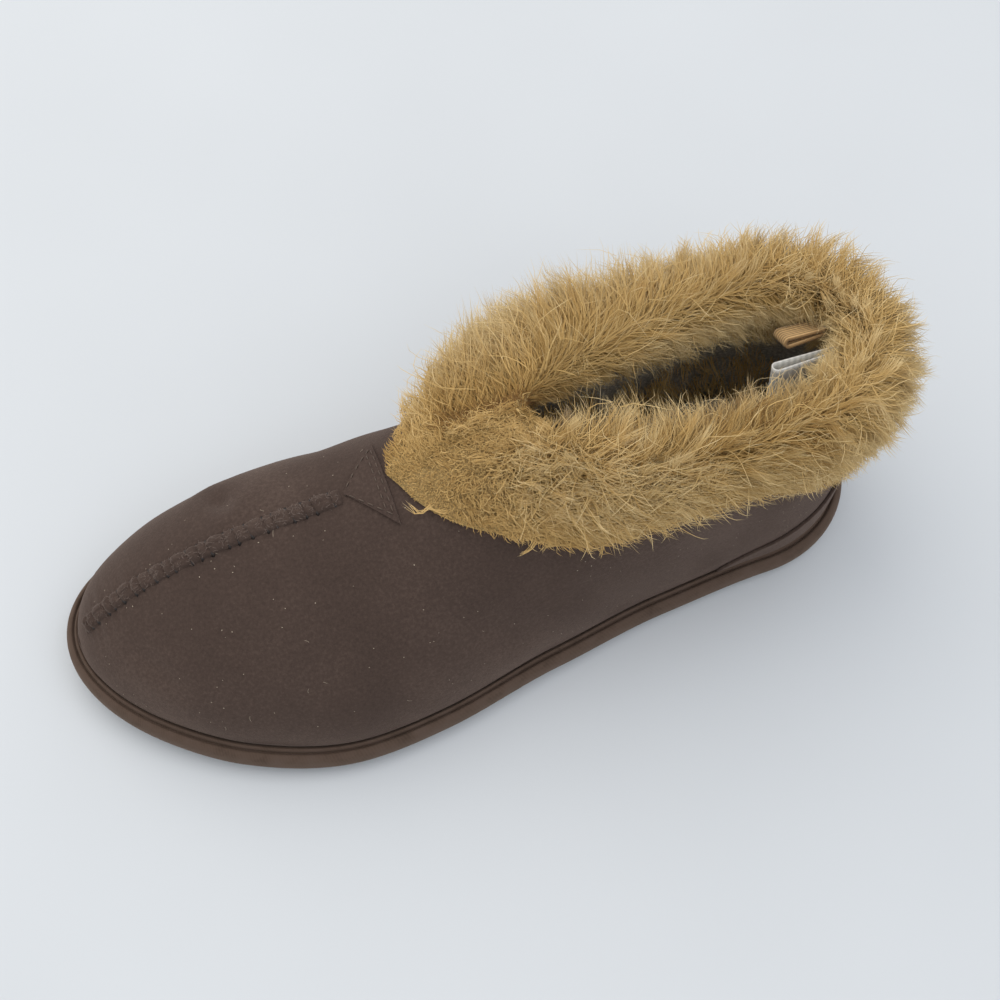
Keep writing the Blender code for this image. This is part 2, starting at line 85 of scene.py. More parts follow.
# One row for each section, heel to toe, in millimetres apart from the shares: middle line, half width,
# height of the arch, its top to the outer side, how far out and how far up the wall sets off, level top,
# collar height.
SECTIONS = (
    ("share", "swing", "half", "arch", "ridge", "flare", "rise", "reach", "collar"),
    (0.00, 0.0, 39.0, 175.0, 0.0, 3.0, 0.30, 0.60, 87.0),
    (0.15, -0.5, 39.0, 165.0, 0.0, 3.0, 0.30, 0.60, 84.0),
    (0.30, 1.8, 39.5, 124.0, -2.0, 3.0, 0.35, 0.60, 82.0),
    (0.45, 4.2, 43.5, 82.0, -5.0, 3.0, 0.40, 0.56, 82.0),
    (0.60, 4.4, 51.5, 64.0, -8.0, 4.0, 0.46, 0.52, 82.0),
    (0.70, 3.6, 54.0, 56.0, -9.0, 4.0, 0.50, 0.50, 82.0),
    (0.84, -1.2, 53.0, 52.0, -10.0, 4.0, 0.52, 0.50, 82.0),
    (0.93, -6.2, 52.0, 50.0, -10.5, 4.0, 0.52, 0.50, 82.0),
    (1.00, -10.5, 52.0, 48.0, -10.5, 4.0, 0.52, 0.50, 82.0),
)

# Side profiles of the sole's layers, bottom to top: how far in from the outline, and height, in millimetres.
OUTSOLE_PROFILE = ((3.6, 0.0), (2.6, 0.25), (2.2, 0.9), (2.0, 2.4), (2.2, 3.4))
WRAP_PROFILE = (
    (2.6, 3.6), (1.2, 3.9), (0.3, 5.0), (0.0, 6.8), (0.1, 9.0), (0.6, 10.9), (1.6, 12.3),
    (2.5, 12.6), (3.05, 11.6), (3.35, 11.5), (3.5, 12.6), (4.1, 13.4), (4.75, 12.9), (5.2, 12.2),
)
INSOLE_PROFILE = ((8.8, 13.3), (8.4, 14.2), (8.5, 16.4), (9.0, 17.8), (10.5, 18.3))
SOLE_STEPS = 170
CAP_STEPS = 6

# Upper
REAR_STEPS = 56
FRONT_STEPS = 100
WALL_ROWS = 50
# Creases and dents, listed one by one. Two ends as side, share along the shoe and place up the section, then
# half width and depth of the trough in millimetres.
CREASES = (
    ("side", "share_a", "up_a", "share_b", "up_b", "width", "depth"),
    (MEDIAL, 0.80, 0.62, 0.785, 0.80, 3.4, 1.5),
    (MEDIAL, 0.775, 0.70, 0.80, 0.74, 5.0, 1.1),
    (LATERAL, 0.835, 0.70, 0.80, 0.50, 4.5, 0.8),
    (LATERAL, 0.70, 0.62, 0.72, 0.40, 6.0, 0.7),
    (LATERAL, 0.90, 0.42, 0.93, 0.62, 4.0, 0.6),
    (LATERAL, 0.50, 0.22, 0.56, 0.42, 7.0, 0.9),
    (LATERAL, 0.36, 0.06, 0.40, 0.26, 6.0, 0.9),
    (LATERAL, 0.24, 0.08, 0.27, 0.22, 5.0, 0.8),
    (MEDIAL, 0.60, 0.25, 0.66, 0.52, 7.0, 0.9),
    (MEDIAL, 0.42, 0.08, 0.47, 0.30, 7.0, 1.0),
    (MEDIAL, 0.26, 0.08, 0.30, 0.22, 5.0, 0.8),
)
CREASE_LIP = 0.45
SWELL = 0.45 * MM
SWELL_LENGTH = 34 * MM

# Toe seam, patch and counter
SEAM_START = 0.655
SEAM_END = 0.985
SEAM_HALF_WIDTH = 3.0 * MM
SEAM_HEIGHT = 2.5 * MM
SEAM_STITCHES = 23
SEAM_SLANT = 0.12
SEAM_DIP = 0.35
SEAM_UNEVEN = 0.22
SEAM_JITTER = 0.2
SEAM_FUZZ = 420
PUCKER = 0.8 * MM
PUCKER_REACH = 5 * MM
PATCH_POINT = 0.652
PATCH_BASE = 0.603
PATCH_HALF_WIDTH = 16 * MM
OVERLAY = 1.2 * MM
PATCH_LIFT = 0.15 * MM
COUNTER_LIFT = 0.25 * MM
COUNTER_EDGE = (
    ("up", "share"),
    (0.005, 0.215), (0.040, 0.180), (0.070, 0.120), (0.105, 0.066), (0.150, 0.044), (0.236, 0.040),
)

# Cuff
CUFF_EDGE = (
    ("share", "up"),
    (0.00, 0.250), (0.10, 0.255), (0.15, 0.285), (0.20, 0.318), (0.25, 0.355),
    (0.30, 0.382), (0.35, 0.402), (0.40, 0.440), (0.45, 0.530), (0.50, 0.630),
    (0.54, 0.720), (0.575, 0.840), (0.60, 1.000),
)
CUFF_FRONT = 0.60
CUFF_INSIDE = 0.62
CLOTH_LIFT = 0.35 * MM
CLOTH = 0.8 * MM
RIM = 0.10

# How the fur is combed, by places across the cuff: lower edge outside (-1), side, just under the collar,
# on it (0), just inside it, lower edge inside (1). around: front 0, heel 1, front again 2. back: to the
# heel. sweep: towards the outer lower edge. lift: out of the cloth. length: of the hair, in millimetres.
COMB_COLUMNS = ("around", "back", "sweep", "lift", "length")
COMBED = {
    -1.0: (
        (0.00, 0.00, 0.05, 1.00, 2.5), (0.12, 0.30, 0.05, 0.90, 3.5), (0.22, 0.70, 0.10, 0.40, 5.0),
        (0.35, 0.90, -0.10, 0.20, 7.0), (0.62, 0.95, -0.20, 0.20, 7.0), (0.70, 0.70, -0.10, 0.30, 6.0),
        (0.80, 0.20, 0.00, 0.70, 6.0), (0.90, 0.00, 0.10, 1.00, 11.0), (1.00, 0.00, 0.20, 1.00, 15.0),
        (1.12, 0.20, 0.30, 0.90, 15.0), (1.30, 0.40, 0.40, 0.70, 15.0), (1.50, 0.50, 0.40, 0.70, 15.0),
        (1.70, 0.00, 0.20, 1.00, 20.0), (1.82, 0.20, 0.10, 1.00, 19.0), (1.88, 0.40, 0.10, 0.90, 14.0),
        (1.94, 0.20, 0.10, 0.70, 5.5), (2.00, 0.00, 0.05, 1.00, 2.5),
    ),
    -0.6: (
        (0.00, 0.00, 0.15, 1.00, 4.5), (0.12, 0.45, -0.10, 0.80, 8.0), (0.22, 0.50, -0.45, 0.45, 13.0),
        (0.32, 0.60, -0.60, 0.45, 17.0), (0.50, 0.85, -0.40, 0.40, 18.0), (0.63, 0.95, -0.20, 0.40, 17.0),
        (0.70, 0.50, 0.30, 0.50, 14.0), (0.80, 0.15, 0.25, 0.90, 14.0), (0.90, 0.00, 0.10, 1.00, 18.0),
        (1.00, 0.00, 0.10, 1.00, 21.0), (1.12, 0.20, 0.10, 1.00, 21.0), (1.30, 0.50, 0.05, 0.90, 22.0),
        (1.50, 0.45, 0.05, 0.90, 22.0), (1.60, 0.20, 0.00, 1.00, 26.0), (1.70, 0.00, 0.00, 1.00, 30.5),
        (1.82, 0.20, 0.00, 1.00, 33.0), (1.88, 0.50, 0.00, 1.00, 31.0), (1.94, 0.80, 0.00, 0.90, 17.0),
        (2.00, 0.00, 0.15, 1.00, 4.5),
    ),
    -0.15: (
        (0.00, -0.30, 0.10, 0.60, 6.0), (0.05, -0.60, -0.30, 0.60, 8.0), (0.10, -0.40, -0.70, 0.60, 15.0),
        (0.20, -0.10, -0.90, 0.45, 23.0), (0.32, 0.10, -0.90, 0.35, 22.0), (0.50, 0.70, -0.50, 0.45, 21.0),
        (0.63, 0.85, -0.20, 0.50, 20.0), (0.70, 0.30, 0.55, 0.60, 19.0), (0.80, 0.10, 0.30, 1.00, 19.0),
        (0.90, 0.00, 0.10, 1.00, 20.0), (1.00, 0.00, 0.10, 1.00, 20.0), (1.12, 0.15, 0.15, 1.00, 20.0),
        (1.30, 0.40, 0.10, 1.00, 20.0), (1.50, 0.50, 0.10, 1.00, 23.0), (1.60, 0.20, 0.05, 1.00, 27.5),
        (1.70, 0.00, 0.00, 1.00, 32.0), (1.82, 0.10, 0.10, 1.00, 32.0), (1.90, 0.50, 0.20, 1.00, 26.0),
        (1.95, 0.60, 0.10, 0.90, 16.0), (2.00, -0.30, 0.10, 0.60, 8.0),
    ),
    0.0: (
        (0.00, -0.30, 0.20, 0.60, 6.0), (0.05, -0.60, -0.20, 0.70, 9.0), (0.10, -0.50, -0.70, 0.70, 18.0),
        (0.16, -0.50, -0.90, 0.60, 28.0), (0.24, -0.40, -0.90, 0.60, 27.0), (0.34, -0.10, -0.80, 0.70, 22.0),
        (0.50, 0.20, -0.50, 0.80, 20.0), (0.63, 0.70, -0.10, 0.70, 19.0), (0.70, 0.30, 0.40, 0.80, 17.0),
        (0.80, 0.10, 0.50, 0.90, 18.0), (1.00, 0.00, 0.50, 0.90, 18.0), (1.12, 0.15, 0.60, 0.80, 19.0),
        (1.30, 0.25, 0.75, 0.60, 21.0), (1.50, 0.20, 0.85, 0.50, 23.0), (1.60, 0.10, 0.90, 0.45, 28.0),
        (1.70, 0.00, 0.90, 0.45, 31.0), (1.82, 0.00, 0.90, 0.45, 30.0), (1.90, 0.20, 0.80, 0.50, 22.0),
        (1.95, 0.20, 0.50, 0.60, 14.0), (2.00, -0.30, 0.20, 0.60, 8.0),
    ),
    0.15: (
        (0.00, -0.20, 0.30, 0.70, 6.0), (0.05, -0.50, 0.10, 0.80, 8.0), (0.10, -0.40, 0.00, 1.00, 17.0),
        (0.16, -0.35, -0.10, 1.00, 28.0), (0.24, -0.30, -0.10, 1.00, 27.0), (0.34, -0.10, 0.10, 1.00, 21.0),
        (0.50, 0.10, 0.20, 1.00, 19.0), (0.62, 0.20, 0.20, 1.00, 19.0), (0.72, 0.10, 0.20, 1.00, 18.0),
        (0.86, 0.00, 0.30, 0.95, 17.0), (1.00, 0.00, 0.45, 0.80, 14.0), (1.12, 0.00, 0.40, 0.80, 13.0),
        (1.30, 0.20, 0.45, 0.75, 15.0), (1.50, 0.20, 0.50, 0.70, 14.0), (1.60, 0.10, 0.55, 0.70, 10.0),
        (1.70, 0.00, 0.50, 0.80, 7.5), (1.88, 0.00, 0.50, 0.80, 7.0), (1.95, 0.00, 0.50, 0.70, 6.0),
        (2.00, -0.20, 0.30, 0.70, 8.0),
    ),
    1.0: (
        (0.00, 0.00, -0.40, 0.60, 7.0), (0.50, 0.30, -0.30, 0.70, 11.0), (1.00, 0.00, -0.40, 0.60, 8.0),
        (1.12, 0.20, -0.20, 0.70, 10.0), (1.30, 0.60, 0.00, 0.80, 15.0), (1.50, 0.60, 0.00, 0.80, 15.0),
        (1.60, 0.40, 0.10, 0.70, 12.0), (1.70, 0.30, 0.10, 0.60, 9.0), (1.88, 0.20, 0.00, 0.60, 7.0),
        (2.00, 0.00, -0.40, 0.60, 7.0),
    ),
}
# Fur pieces: the stretch round the cuff, the stretch across it, and how far apart its locks are.
FUR_PIECES = (
    ("fur_side_outer", 0.10, 0.84, -1.0, -0.12, 1.0),
    ("fur_side_inner", 1.16, 1.90, -1.0, -0.12, 1.0),
    ("fur_heel", 0.84, 1.16, -1.0, 0.12, 1.0),
    ("fur_front", -0.10, 0.10, -1.0, 0.12, 0.9),
    ("fur_rim_outer", 0.10, 0.84, -0.12, 0.30, 1.0),
    ("fur_rim_inner", 1.16, 1.90, -0.12, 0.30, 1.0),
    ("fur_lining_outer", 0.0, 1.0, 0.20, 1.0, 1.6),
    ("fur_lining_inner", 1.0, 2.0, 0.20, 1.0, 1.45),
)
# Loose wisps along the lower edge, combed as in the tables, each from its own place on the cuff.
WISPS = (
    ("around", "across", "back", "sweep", "lift", "length"),
    (0.09, -0.94, -0.80, 0.70, 0.15, 11.0),
    (0.11, -0.92, -0.70, 0.80, 0.20, 8.0),
    (0.27, -0.97, 0.10, 0.90, 0.25, 9.0),
    (0.31, -0.97, -0.30, 0.90, 0.20, 8.0),
    (0.38, -0.98, 0.60, 0.80, 0.20, 8.0),
    (0.49, -0.98, 0.50, 0.90, 0.25, 11.0),
    (0.53, -0.97, 0.80, 0.60, 0.20, 10.0),
    (0.64, -0.98, 0.80, 0.70, 0.20, 9.0),
    (0.74, -0.98, 0.70, 0.80, 0.20, 9.0),
)
WISP_HAIRS = 7
# Tufts of the lining
WALL_LOCKS = 360
FOOTBED_LOCKS = 380
PLUSH_HAIRS = 12

LOCK_RINGS = 6
DOWN_RINGS = 4
CURL_RINGS = 9
ROOT_LIFT = 0.85 * MM
GRAVITY = 0.25
LIFT_SPREAD = 0.12
LOCK_WAVE = (0.07, 0.24)
CURL_WAVE = (0.14, 0.40)
# Swirls of the pile: how far they turn it, their two sizes, and how long hair is that takes part in full
SWIRL = 0.9
SWIRL_LENGTHS = (34 * MM, 12 * MM)
SWIRL_FULL = 14 * MM
# Locks, the down under them and the curls on top: shares of the combed length. Hairs of a lock: spread of
# their roots in lock spacings, and how far their tips are drawn together.
LOCK_LENGTHS = (0.8, 1.1)
DOWN_LENGTHS = (0.5, 0.95)
DOWN_LEAST = 1.6 * MM
CURL_LENGTHS = (0.8, 1.0)
HAIR_SPREAD = 0.45
LOCK_PULL = (0.45, 0.9)
# One strand of a lock: shares of the lock's length, less at its edge, and how far it goes its own way
STRAND_LENGTHS = (0.75, 1.06)
LOCK_EDGE = 0.28
STRAY = 0.045
STRAND_CURL = 0.03
STRAND_TWIST = 0.15
# Where the flat side of a strand looks: up, and a little to the outer side of the foot
FACING = np.array((0.1, 0.35, 0.9))
FACING_OUT = 0.25
# Shading: roundness of a tuft, its lean to the sky, and how long hair is that shows both root and tip
TUFT_ROUND = 0.24
SKY_LEAN = 0.6
FULL_SHADING = 13 * MM
MIDDLE_SHADE = 0.45
# The strands' own UV map: tone across, way to the tip along, kept off the map's edges
STRAND_MAP = "OFBake"
UV_HALF = 0.004
UV_EDGE = 0.01
# Tones from 0, dark, to 1, pale
FUR_TONE = 0.55
PALE_TONE = 0.8
CURL_TONES = (0.6, 0.98)
TONE_SWELL = 0.13
TONE_LENGTH = 16 * MM
TONE_CHANCE = 0.07
# Painted shade in the parting, where the hair flows apart: how much it darkens the tone there
PARTING_SHADE = 0.6
# Painted shadow of the curls on a patch of the outer side of the collar: how much it darkens the tone there
SHADOWED_PATCH_SHADE = 0.22
# Middle of the patch of the outer side of the collar that takes that painted shadow, in millimetres, and its
# reach
SHADOWED_PATCH = (-76, 30, 98)
SHADOWED_PATCH_REACH = 26 * MM
# Where the hair parts, from its front end back to the opening: places round and across the cuff, and half
# the width there in millimetres. It pushes the hair away within its reach.
PARTING = np.array(
    ((1.940, -0.58, 4.6), (1.945, -0.45, 3.2), (1.950, -0.30, 2.6), (1.955, -0.15, 3.0), (1.965, 0.00, 4.2))
)
PARTING_REACH = 6 * MM

# Loop and label: width, opening of the fold, thickness, turn in degrees. TAPE_NOSE is the share of the
# tape's length, to each side of its middle, that goes round the fold.
LOOP_TAPE = (8 * MM, 2.8 * MM, 1.0 * MM, 30)
LABEL_TAPE = (14 * MM, 3.4 * MM, 0.6 * MM, -78)
TAPE_NOSE = 0.3125

# Camera, in millimetres of the shoe's own frame, and the lens for a square picture
CAMERA_PLACE = (87.2, 198.6, 501.9)
CAMERA_AIM = (-6.6, -8.3, 40.0)
CAMERA_ROLL = 4.86
CAMERA_LENS = 53.75
FLOOR_HALF = 3.0
LIGHT_SIZE = 2.0


def linear(code):
    """Linear colour from an sRGB hex code."""
    parts = [int(code[at : at + 2], 16) / 255 for at in (1, 3, 5)]
    return tuple(part / 12.92 if part <= 0.04045 else ((part + 0.055) / 1.055) ** 2.4 for part in parts)


def tint(name, description, code):
    return FloatVectorProperty(
        name=name, description=description, default=linear(code), subtype="COLOR", size=3, min=0.0, max=1.0
    )


def length(name, description, default):
    return FloatProperty(name=name, description=description, default=default, unit="LENGTH", min=0.0)


class SlipperSizes(bpy.types.PropertyGroup):
    """Sizes that change the finish and not the form."""

    lock_spacing: length("Lock spacing", "Distance between the roots of neighbouring locks", 4.3 * MM)
    hair_width: length("Hair width", "Widest part of one strand", 0.25 * MM)
    hairs: IntProperty(name="Hairs", description="Strands in one lock of fur", default=40, min=1)
    down_spacing: length("Down spacing", "Distance between the short hairs under the locks", 0.75 * MM)
    curls: IntProperty(name="Curls", description="Long stray hairs on top of the locks", default=4200, min=0)
    hair_scale: FloatProperty(name="Pile height", description="Factor on the length of all hair", default=1.0)
    rib: length("Tape rib", "Spacing of the ribs of the sole's tape", 0.9 * MM)
    stitch: length("Stitch", "Spacing of the topstitching", 2.9 * MM)
    thread: length("Thread", "Thickness of the sewing thread", 0.5 * MM)
    lint: IntProperty(name="Lint", description="Fibres caught in the suede's nap", default=210, min=0)


class SlipperColours(bpy.types.PropertyGroup):
    """Colours of the finish."""

    suede: tint("Suede", "Nap brushed towards the eye", "#4a3c35")
    suede_light: tint("Suede, lighter", "Nap brushed away from the eye", "#5d4d44")
    tape: tint("Sole tape", "Ribbed tape round the sole", "#57463b")
    # Painted shade: the tape's colour where it lies low, between its ribs and in its felt.
    tape_valley_shade: tint("Sole tape, valleys", "Between the ribs of the tape", "#43352b")
    rubber: tint("Outsole", "Moulded sole", "#2c2521")
    # The roots are painted darker than the middle of the hair: painted shade deep in the pile.
    fur_root_shade: tint("Fur roots", "Hair where it leaves the cloth", "#caa668")
    fur_body: tint("Fur", "Middle of the hair", "#d6b272")
    fur_tip: tint("Fur tips", "Bleached ends of the hair", "#ecd6a6")
    footbed: tint("Footbed", "Undyed pile of the footbed", "#d3cabb")
    backing: tint("Fur backing", "Cut edge of the knitted backing", "#cdb48a")
    thread: tint("Thread", "Sewing thread of the topstitching", "#5f4d40")
    loop: tint("Loop tape", "Ground of the woven loop", "#bd9a68")
    loop_stripe: tint("Loop stripe", "Darker yarns of the woven loop", "#9c784a")
    label: tint("Label", "Bare satin label", "#dedad0")
    lint: tint("Lint", "Fibres caught in the nap", "#b5a38c")
    floor: tint("Floor", "Plain pale ground", "#d6d8d9")


def column(table, name, share):
    """A table's column at shares along it, on a smooth curve that keeps to the rows' rise and fall."""
    names, *rows = table
    xs = np.array([row[0] for row in rows], float)
    ys = np.array([row[names.index(name)] for row in rows], float)
    share = np.clip(share, xs[0], xs[-1])
    slopes = np.diff(ys) / np.diff(xs)
    both = slopes[:-1] * slopes[1:]
    total = np.where(both > 0, slopes[:-1] + slopes[1:], 1.0)
    ends = np.zeros(len(xs))
    ends[1:-1] = np.where(both > 0, 2 * both / total, 0.0)
    ends[-1] = slopes[-1] if slopes[-1] * ends[-2] >= 0 else 0.0
    row = np.clip(np.searchsorted(xs, share, side="right") - 1, 0, len(xs) - 2)
    span = xs[row + 1] - xs[row]
    t = (share - xs[row]) / span
    curve = (3 - 2 * t) * t * t * (ys[row + 1] - ys[row])
    lead = ends[row] * t * (1 - t) ** 2 - ends[row + 1] * t * t * (1 - t)
    return ys[row] + curve + lead * span


def section(name, share):
    return column(SECTIONS, name, share)


def unit(vectors):
    return vectors / np.maximum(np.linalg.norm(vectors, axis=-1, keepdims=True), 1e-12)


def joined(x, y, z):
    return np.stack(np.broadcast_arrays(x, y, z), -1).astype(float)


def round_off(distance):
    """Half ellipse: 0 at an end of the sole, 1 once the distance reaches 1."""
    return np.sqrt(np.maximum(0.0, 1 - (1 - np.minimum(distance, 1.0)) ** 2))


def end_round(share):
    return round_off(share / HEEL_ROUND) * round_off((1 - share) / TOE_ROUND)


def share_of(turn):
    """Place along the sole for an even turn from heel (0) to toe (1), closer together at both ends."""
    return (1 - np.cos(np.pi * turn)) / 2


def turn_of(share):
    return np.arccos(np.clip(1 - 2 * np.asarray(share, float), -1, 1)) / np.pi


def spring(share):
    """How far the toe end curls up from the floor."""
    return TOE_SPRING * (np.maximum(0.0, share - TOE_SPRING_START) / (1 - TOE_SPRING_START)) ** 2


def sole_edge(share, side, inset):
    """Point of the sole's outline, seen from above and moved in by inset, before it is set in the frame."""
    half = section("half", share) * MM - inset
    x = inset + share * (SOLE_LENGTH - 2 * inset)
    return x, section("swing", share) * MM + side * half * end_round(share)


# The solids are set with their middle at the origin: the sole's own box gives that shift.
WRAP_LOW, WRAP_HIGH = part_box("sole_wrap")
OUTER_EDGE = sole_edge(np.linspace(0, 1, 2001), LATERAL, 0.0)[1].max()
SHIFT = np.array((WRAP_LOW.x, WRAP_HIGH.y - OUTER_EDGE, 0.0))


def last_point(turn, side, up):
    """Points of the last's skin: turn runs from heel to toe, up from the sole (0) to the ridge (1)."""
    share = share_of(np.asarray(turn, float))
    x, y = sole_edge(share, side, FEATHER_INSET)
    low = SOLE_HEIGHT + GAP + spring(share)
    fall = np.maximum(0.0, share - (1 - TOE_ROUND)) / TOE_ROUND
    arch = section("arch", share) * MM * np.maximum(1 - fall * fall, 0.012) ** TOE_FALL_POWER
    half = (section("half", share) * MM - FEATHER_INSET) * end_round(share)
    ridge = section("ridge", share) * MM
    back = np.maximum(0.0, 1 - share / HEEL_LEAN_REACH) ** 2
    flare = side * section("flare", share) * MM * end_round(share)
    foot = joined(x, y, low)
    wall = joined(x - HEEL_BACK_BULGE * back, y + flare, low + section("rise", share) * arch)
    level = joined(x + HEEL_BACK_LEAN[0] * back, ridge + side * section("reach", share) * half, low + arch)
    top = joined(x + HEEL_BACK_LEAN[1] * back, ridge, low + arch)
    up = np.asarray(up, float)[..., None]
    down = 1 - up
    return foot * down**3 + wall * 3 * down**2 * up + level * 3 * down * up**2 + top * up**3 + SHIFT


def last_normal(turn, side, up):
    """Unit vectors out of the last's skin."""
    step = 0.004
    turn, side, up = np.broadcast_arrays(np.asarray(turn, float), side, up)
    ahead = last_point(np.clip(turn + step, 0, 1), side, up)
    behind = np.where(turn < step, -side, side)
    astern = last_point(np.where(turn < step, step, np.clip(turn - step, 0, 1)), behind, up)
    rise = last_point(turn, side, np.clip(up + step, 0, 1)) - last_point(turn, side, np.clip(up - step, 0, 1))
    return unit(np.cross(ahead - astern, rise) * -side[..., None])


def skin(turn, side, up, out=0.0):
    """Points a distance out from the last's skin."""
    return last_point(turn, side, up) + last_normal(turn, side, up) * np.asarray(out, float)[..., None]


def rise_until(turn, side, short):
    """Place up the section, by halving, below which short(point) holds."""
    low = np.zeros_like(turn)
    high = np.ones_like(turn)
    for _ in range(32):
        middle = (low + high) / 2
        below = short(last_point(turn, side, middle))
        low, high = np.where(below, middle, low), np.where(below, high, middle)
    return low


COLLAR_TURNS = np.linspace(0, turn_of(THROAT), 240)
COLLAR_HEIGHT = SOLE_HEIGHT + GAP + section("collar", share_of(COLLAR_TURNS)) * MM
COLLAR_UPS = {
    side: rise_until(COLLAR_TURNS, side, lambda point: point[..., 2] < COLLAR_HEIGHT)
    for side in (LATERAL, MEDIAL)
}


def collar_up(turn, side):
    """How far up its section the last is cut for the collar: 1 ahead of the throat."""
    outer = np.interp(turn, COLLAR_TURNS, COLLAR_UPS[LATERAL])
    inner = np.interp(turn, COLLAR_TURNS, COLLAR_UPS[MEDIAL])
    cut = np.where(np.asarray(side) > 0, outer, inner)
    return np.where(share_of(turn) >= THROAT - 1e-6, 1.0, cut)


def ridge_width_up(turn, side, width):
    """Place up the section that lies a width away from the ridge."""
    ridge = last_point(turn, side, 1.0)
    return rise_until(turn, side, lambda point: np.linalg.norm(point - ridge, axis=-1) > width)


def ripple(points, size, seed):
    """Soft random swell, about -1 to 1, whose waves are about size long."""
    luck = np.random.default_rng(seed)
    ways = unit(luck.normal(size=(9, 3))) / (size * luck.uniform(0.7, 1.6, 9))[:, None]
    return np.sin(points @ ways.T * math.tau + luck.uniform(0, math.tau, 9)).mean(-1) * 1.9


def rounded(profile, steps):
    """Points on a smooth curve through a profile's rows."""
    rows = np.array(profile, float)
    rows = np.concatenate([rows[:1], rows, rows[-1:]])
    at = np.linspace(0, len(profile) - 1, steps + 1)
    row = np.minimum(at.astype(int), len(profile) - 2)
    t = (at - row)[:, None]
    a, b, c, d = (rows[row + step] for step in range(4))
    bend = (2 * a - 5 * b + 4 * c - d) * t * t + (3 * b - a - 3 * c + d) * t**3
    return (2 * b + (c - a) * t + bend) / 2


def lay_sheet(bm, across, along, place):
    """Adds a grid whose points go where place(a, b) puts them, a and b each running from 0 to 1."""
    grid = bmesh.ops.create_grid(bm, x_segments=across, y_segments=along, size=1, calc_uvs=True)["verts"]
    flat = (np.array([vert.co for vert in grid]) + 1) / 2
    for vert, point in zip(grid, place(flat[:, 0], flat[:, 1])):
        vert.co = point


def sheet_mesh():
    bm = bmesh.new()
    bm.loops.layers.uv.new("weave")
    return bm


def finished(name, bm, surfaces, heart, slot, *nodes):
    """Turns a bmesh into a piece: merged, faces away from its heart, smooth, riding on the shoe."""
    bmesh.ops.remove_doubles(bm, verts=bm.verts, dist=MERGE)
    bmesh.ops.dissolve_degenerate(bm, edges=bm.edges, dist=MERGE)
    bmesh.ops.recalc_face_normals(bm, faces=bm.faces)
    heart = Vector(heart)
    out = sum((face.calc_center_median() - heart).dot(face.normal) * face.calc_area() for face in bm.faces)
    if out < 0:
        bmesh.ops.reverse_faces(bm, faces=bm.faces)
    mesh = bpy.data.meshes.new(name)
    bm.to_mesh(mesh)
    bm.free()
    return settled(name, mesh, surfaces, slot, *nodes)


def settled(name, mesh, surfaces, slot, *nodes):
    """Makes a mesh an object of the shoe, with its materials, and the solids that it stands for."""
    for surface in surfaces:
        mesh.materials.append(surface)
    mesh.shade_smooth()
    made = bpy.data.objects.new(name, mesh)
    bpy.context.scene.collection.objects.link(made)
    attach(made, "root")
    if nodes:
        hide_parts(*nodes)
    return made


def thicken(made, thickness, offset):
    """Gives a sheet its wall: offset -1 to the inside of its skin, 1 to the outside."""
    wall = made.modifiers.new("Wall", "SOLIDIFY")
    wall.thickness = thickness
    wall.offset = offset
    wall.use_even_offset = True
    return wall


def soften(made, width):
    edge = made.modifiers.new("Soft edge", "BEVEL")
    edge.width = width
    edge.segments = 3
    edge.limit_method = "ANGLE"
    edge.angle_limit = math.radians(50)


def array_mesh(name, verts, faces):
    """Mesh from arrays: verts (pieces, points, 3) and the face corners of one piece, repeated for each."""
    count, points, _ = verts.shape
    corners = np.concatenate([np.array(face) for face in faces])
    sizes = np.array([len(face) for face in faces])
    index = (corners[None, :] + np.arange(count)[:, None] * points).ravel()
    starts = np.concatenate([[0], np.cumsum(np.tile(sizes, count))[:-1]])
    mesh = bpy.data.meshes.new(name)
    mesh.vertices.add(count * points)
    mesh.vertices.foreach_set("co", verts.astype(np.float32).ravel())
    mesh.loops.add(len(index))
    mesh.loops.foreach_set("vertex_index", index.astype(np.int32))
    mesh.polygons.add(count * len(faces))
    mesh.polygons.foreach_set("loop_start", starts.astype(np.int32))
    mesh.update(calc_edges=True)
    return mesh, corners


def strand_mesh(name, paths, sideways, widths, tones, normals):
    """Flat strands that taper to a point, shaded with the roundness of the tuft that they belong to.

    The UV map keeps each strand's tone (u) and the way to its tip (v). Short hair keeps to the middle."""
    count, rings, _ = paths.shape
    reach = sideways * widths[..., None] / 2
    pairs = np.stack([paths[:, :-1] - reach, paths[:, :-1] + reach], 2)
    verts = np.concatenate([pairs.reshape(count, 2 * (rings - 1), 3), paths[:, -1:]], 1)
    faces = [(2 * at, 2 * at + 1, 2 * at + 3, 2 * at + 2) for at in range(rings - 2)]
    faces.append((2 * rings - 4, 2 * rings - 3, 2 * rings - 2))
    mesh, corners = array_mesh(name, verts, faces)
    u = np.where(corners % 2 == 0, -UV_HALF, UV_HALF)[None, :] + tones[:, None]
    way = corners // 2 / (rings - 1) * (1 - 2 * UV_EDGE) + UV_EDGE
    full = np.minimum(np.linalg.norm(paths[:, -1] - paths[:, 0], axis=-1) / FULL_SHADING, 1)
    v = MIDDLE_SHADE + (way - MIDDLE_SHADE)[None, :] * full[:, None]
    layer = mesh.uv_layers.new(name=STRAND_MAP)
    layer.uv.foreach_set("vector", np.stack([u, v], -1).astype(np.float32).ravel())
    mesh.shade_smooth()
    mesh.normals_split_custom_set_from_vertices(np.repeat(normals, 2 * rings - 1, 0))
    return mesh


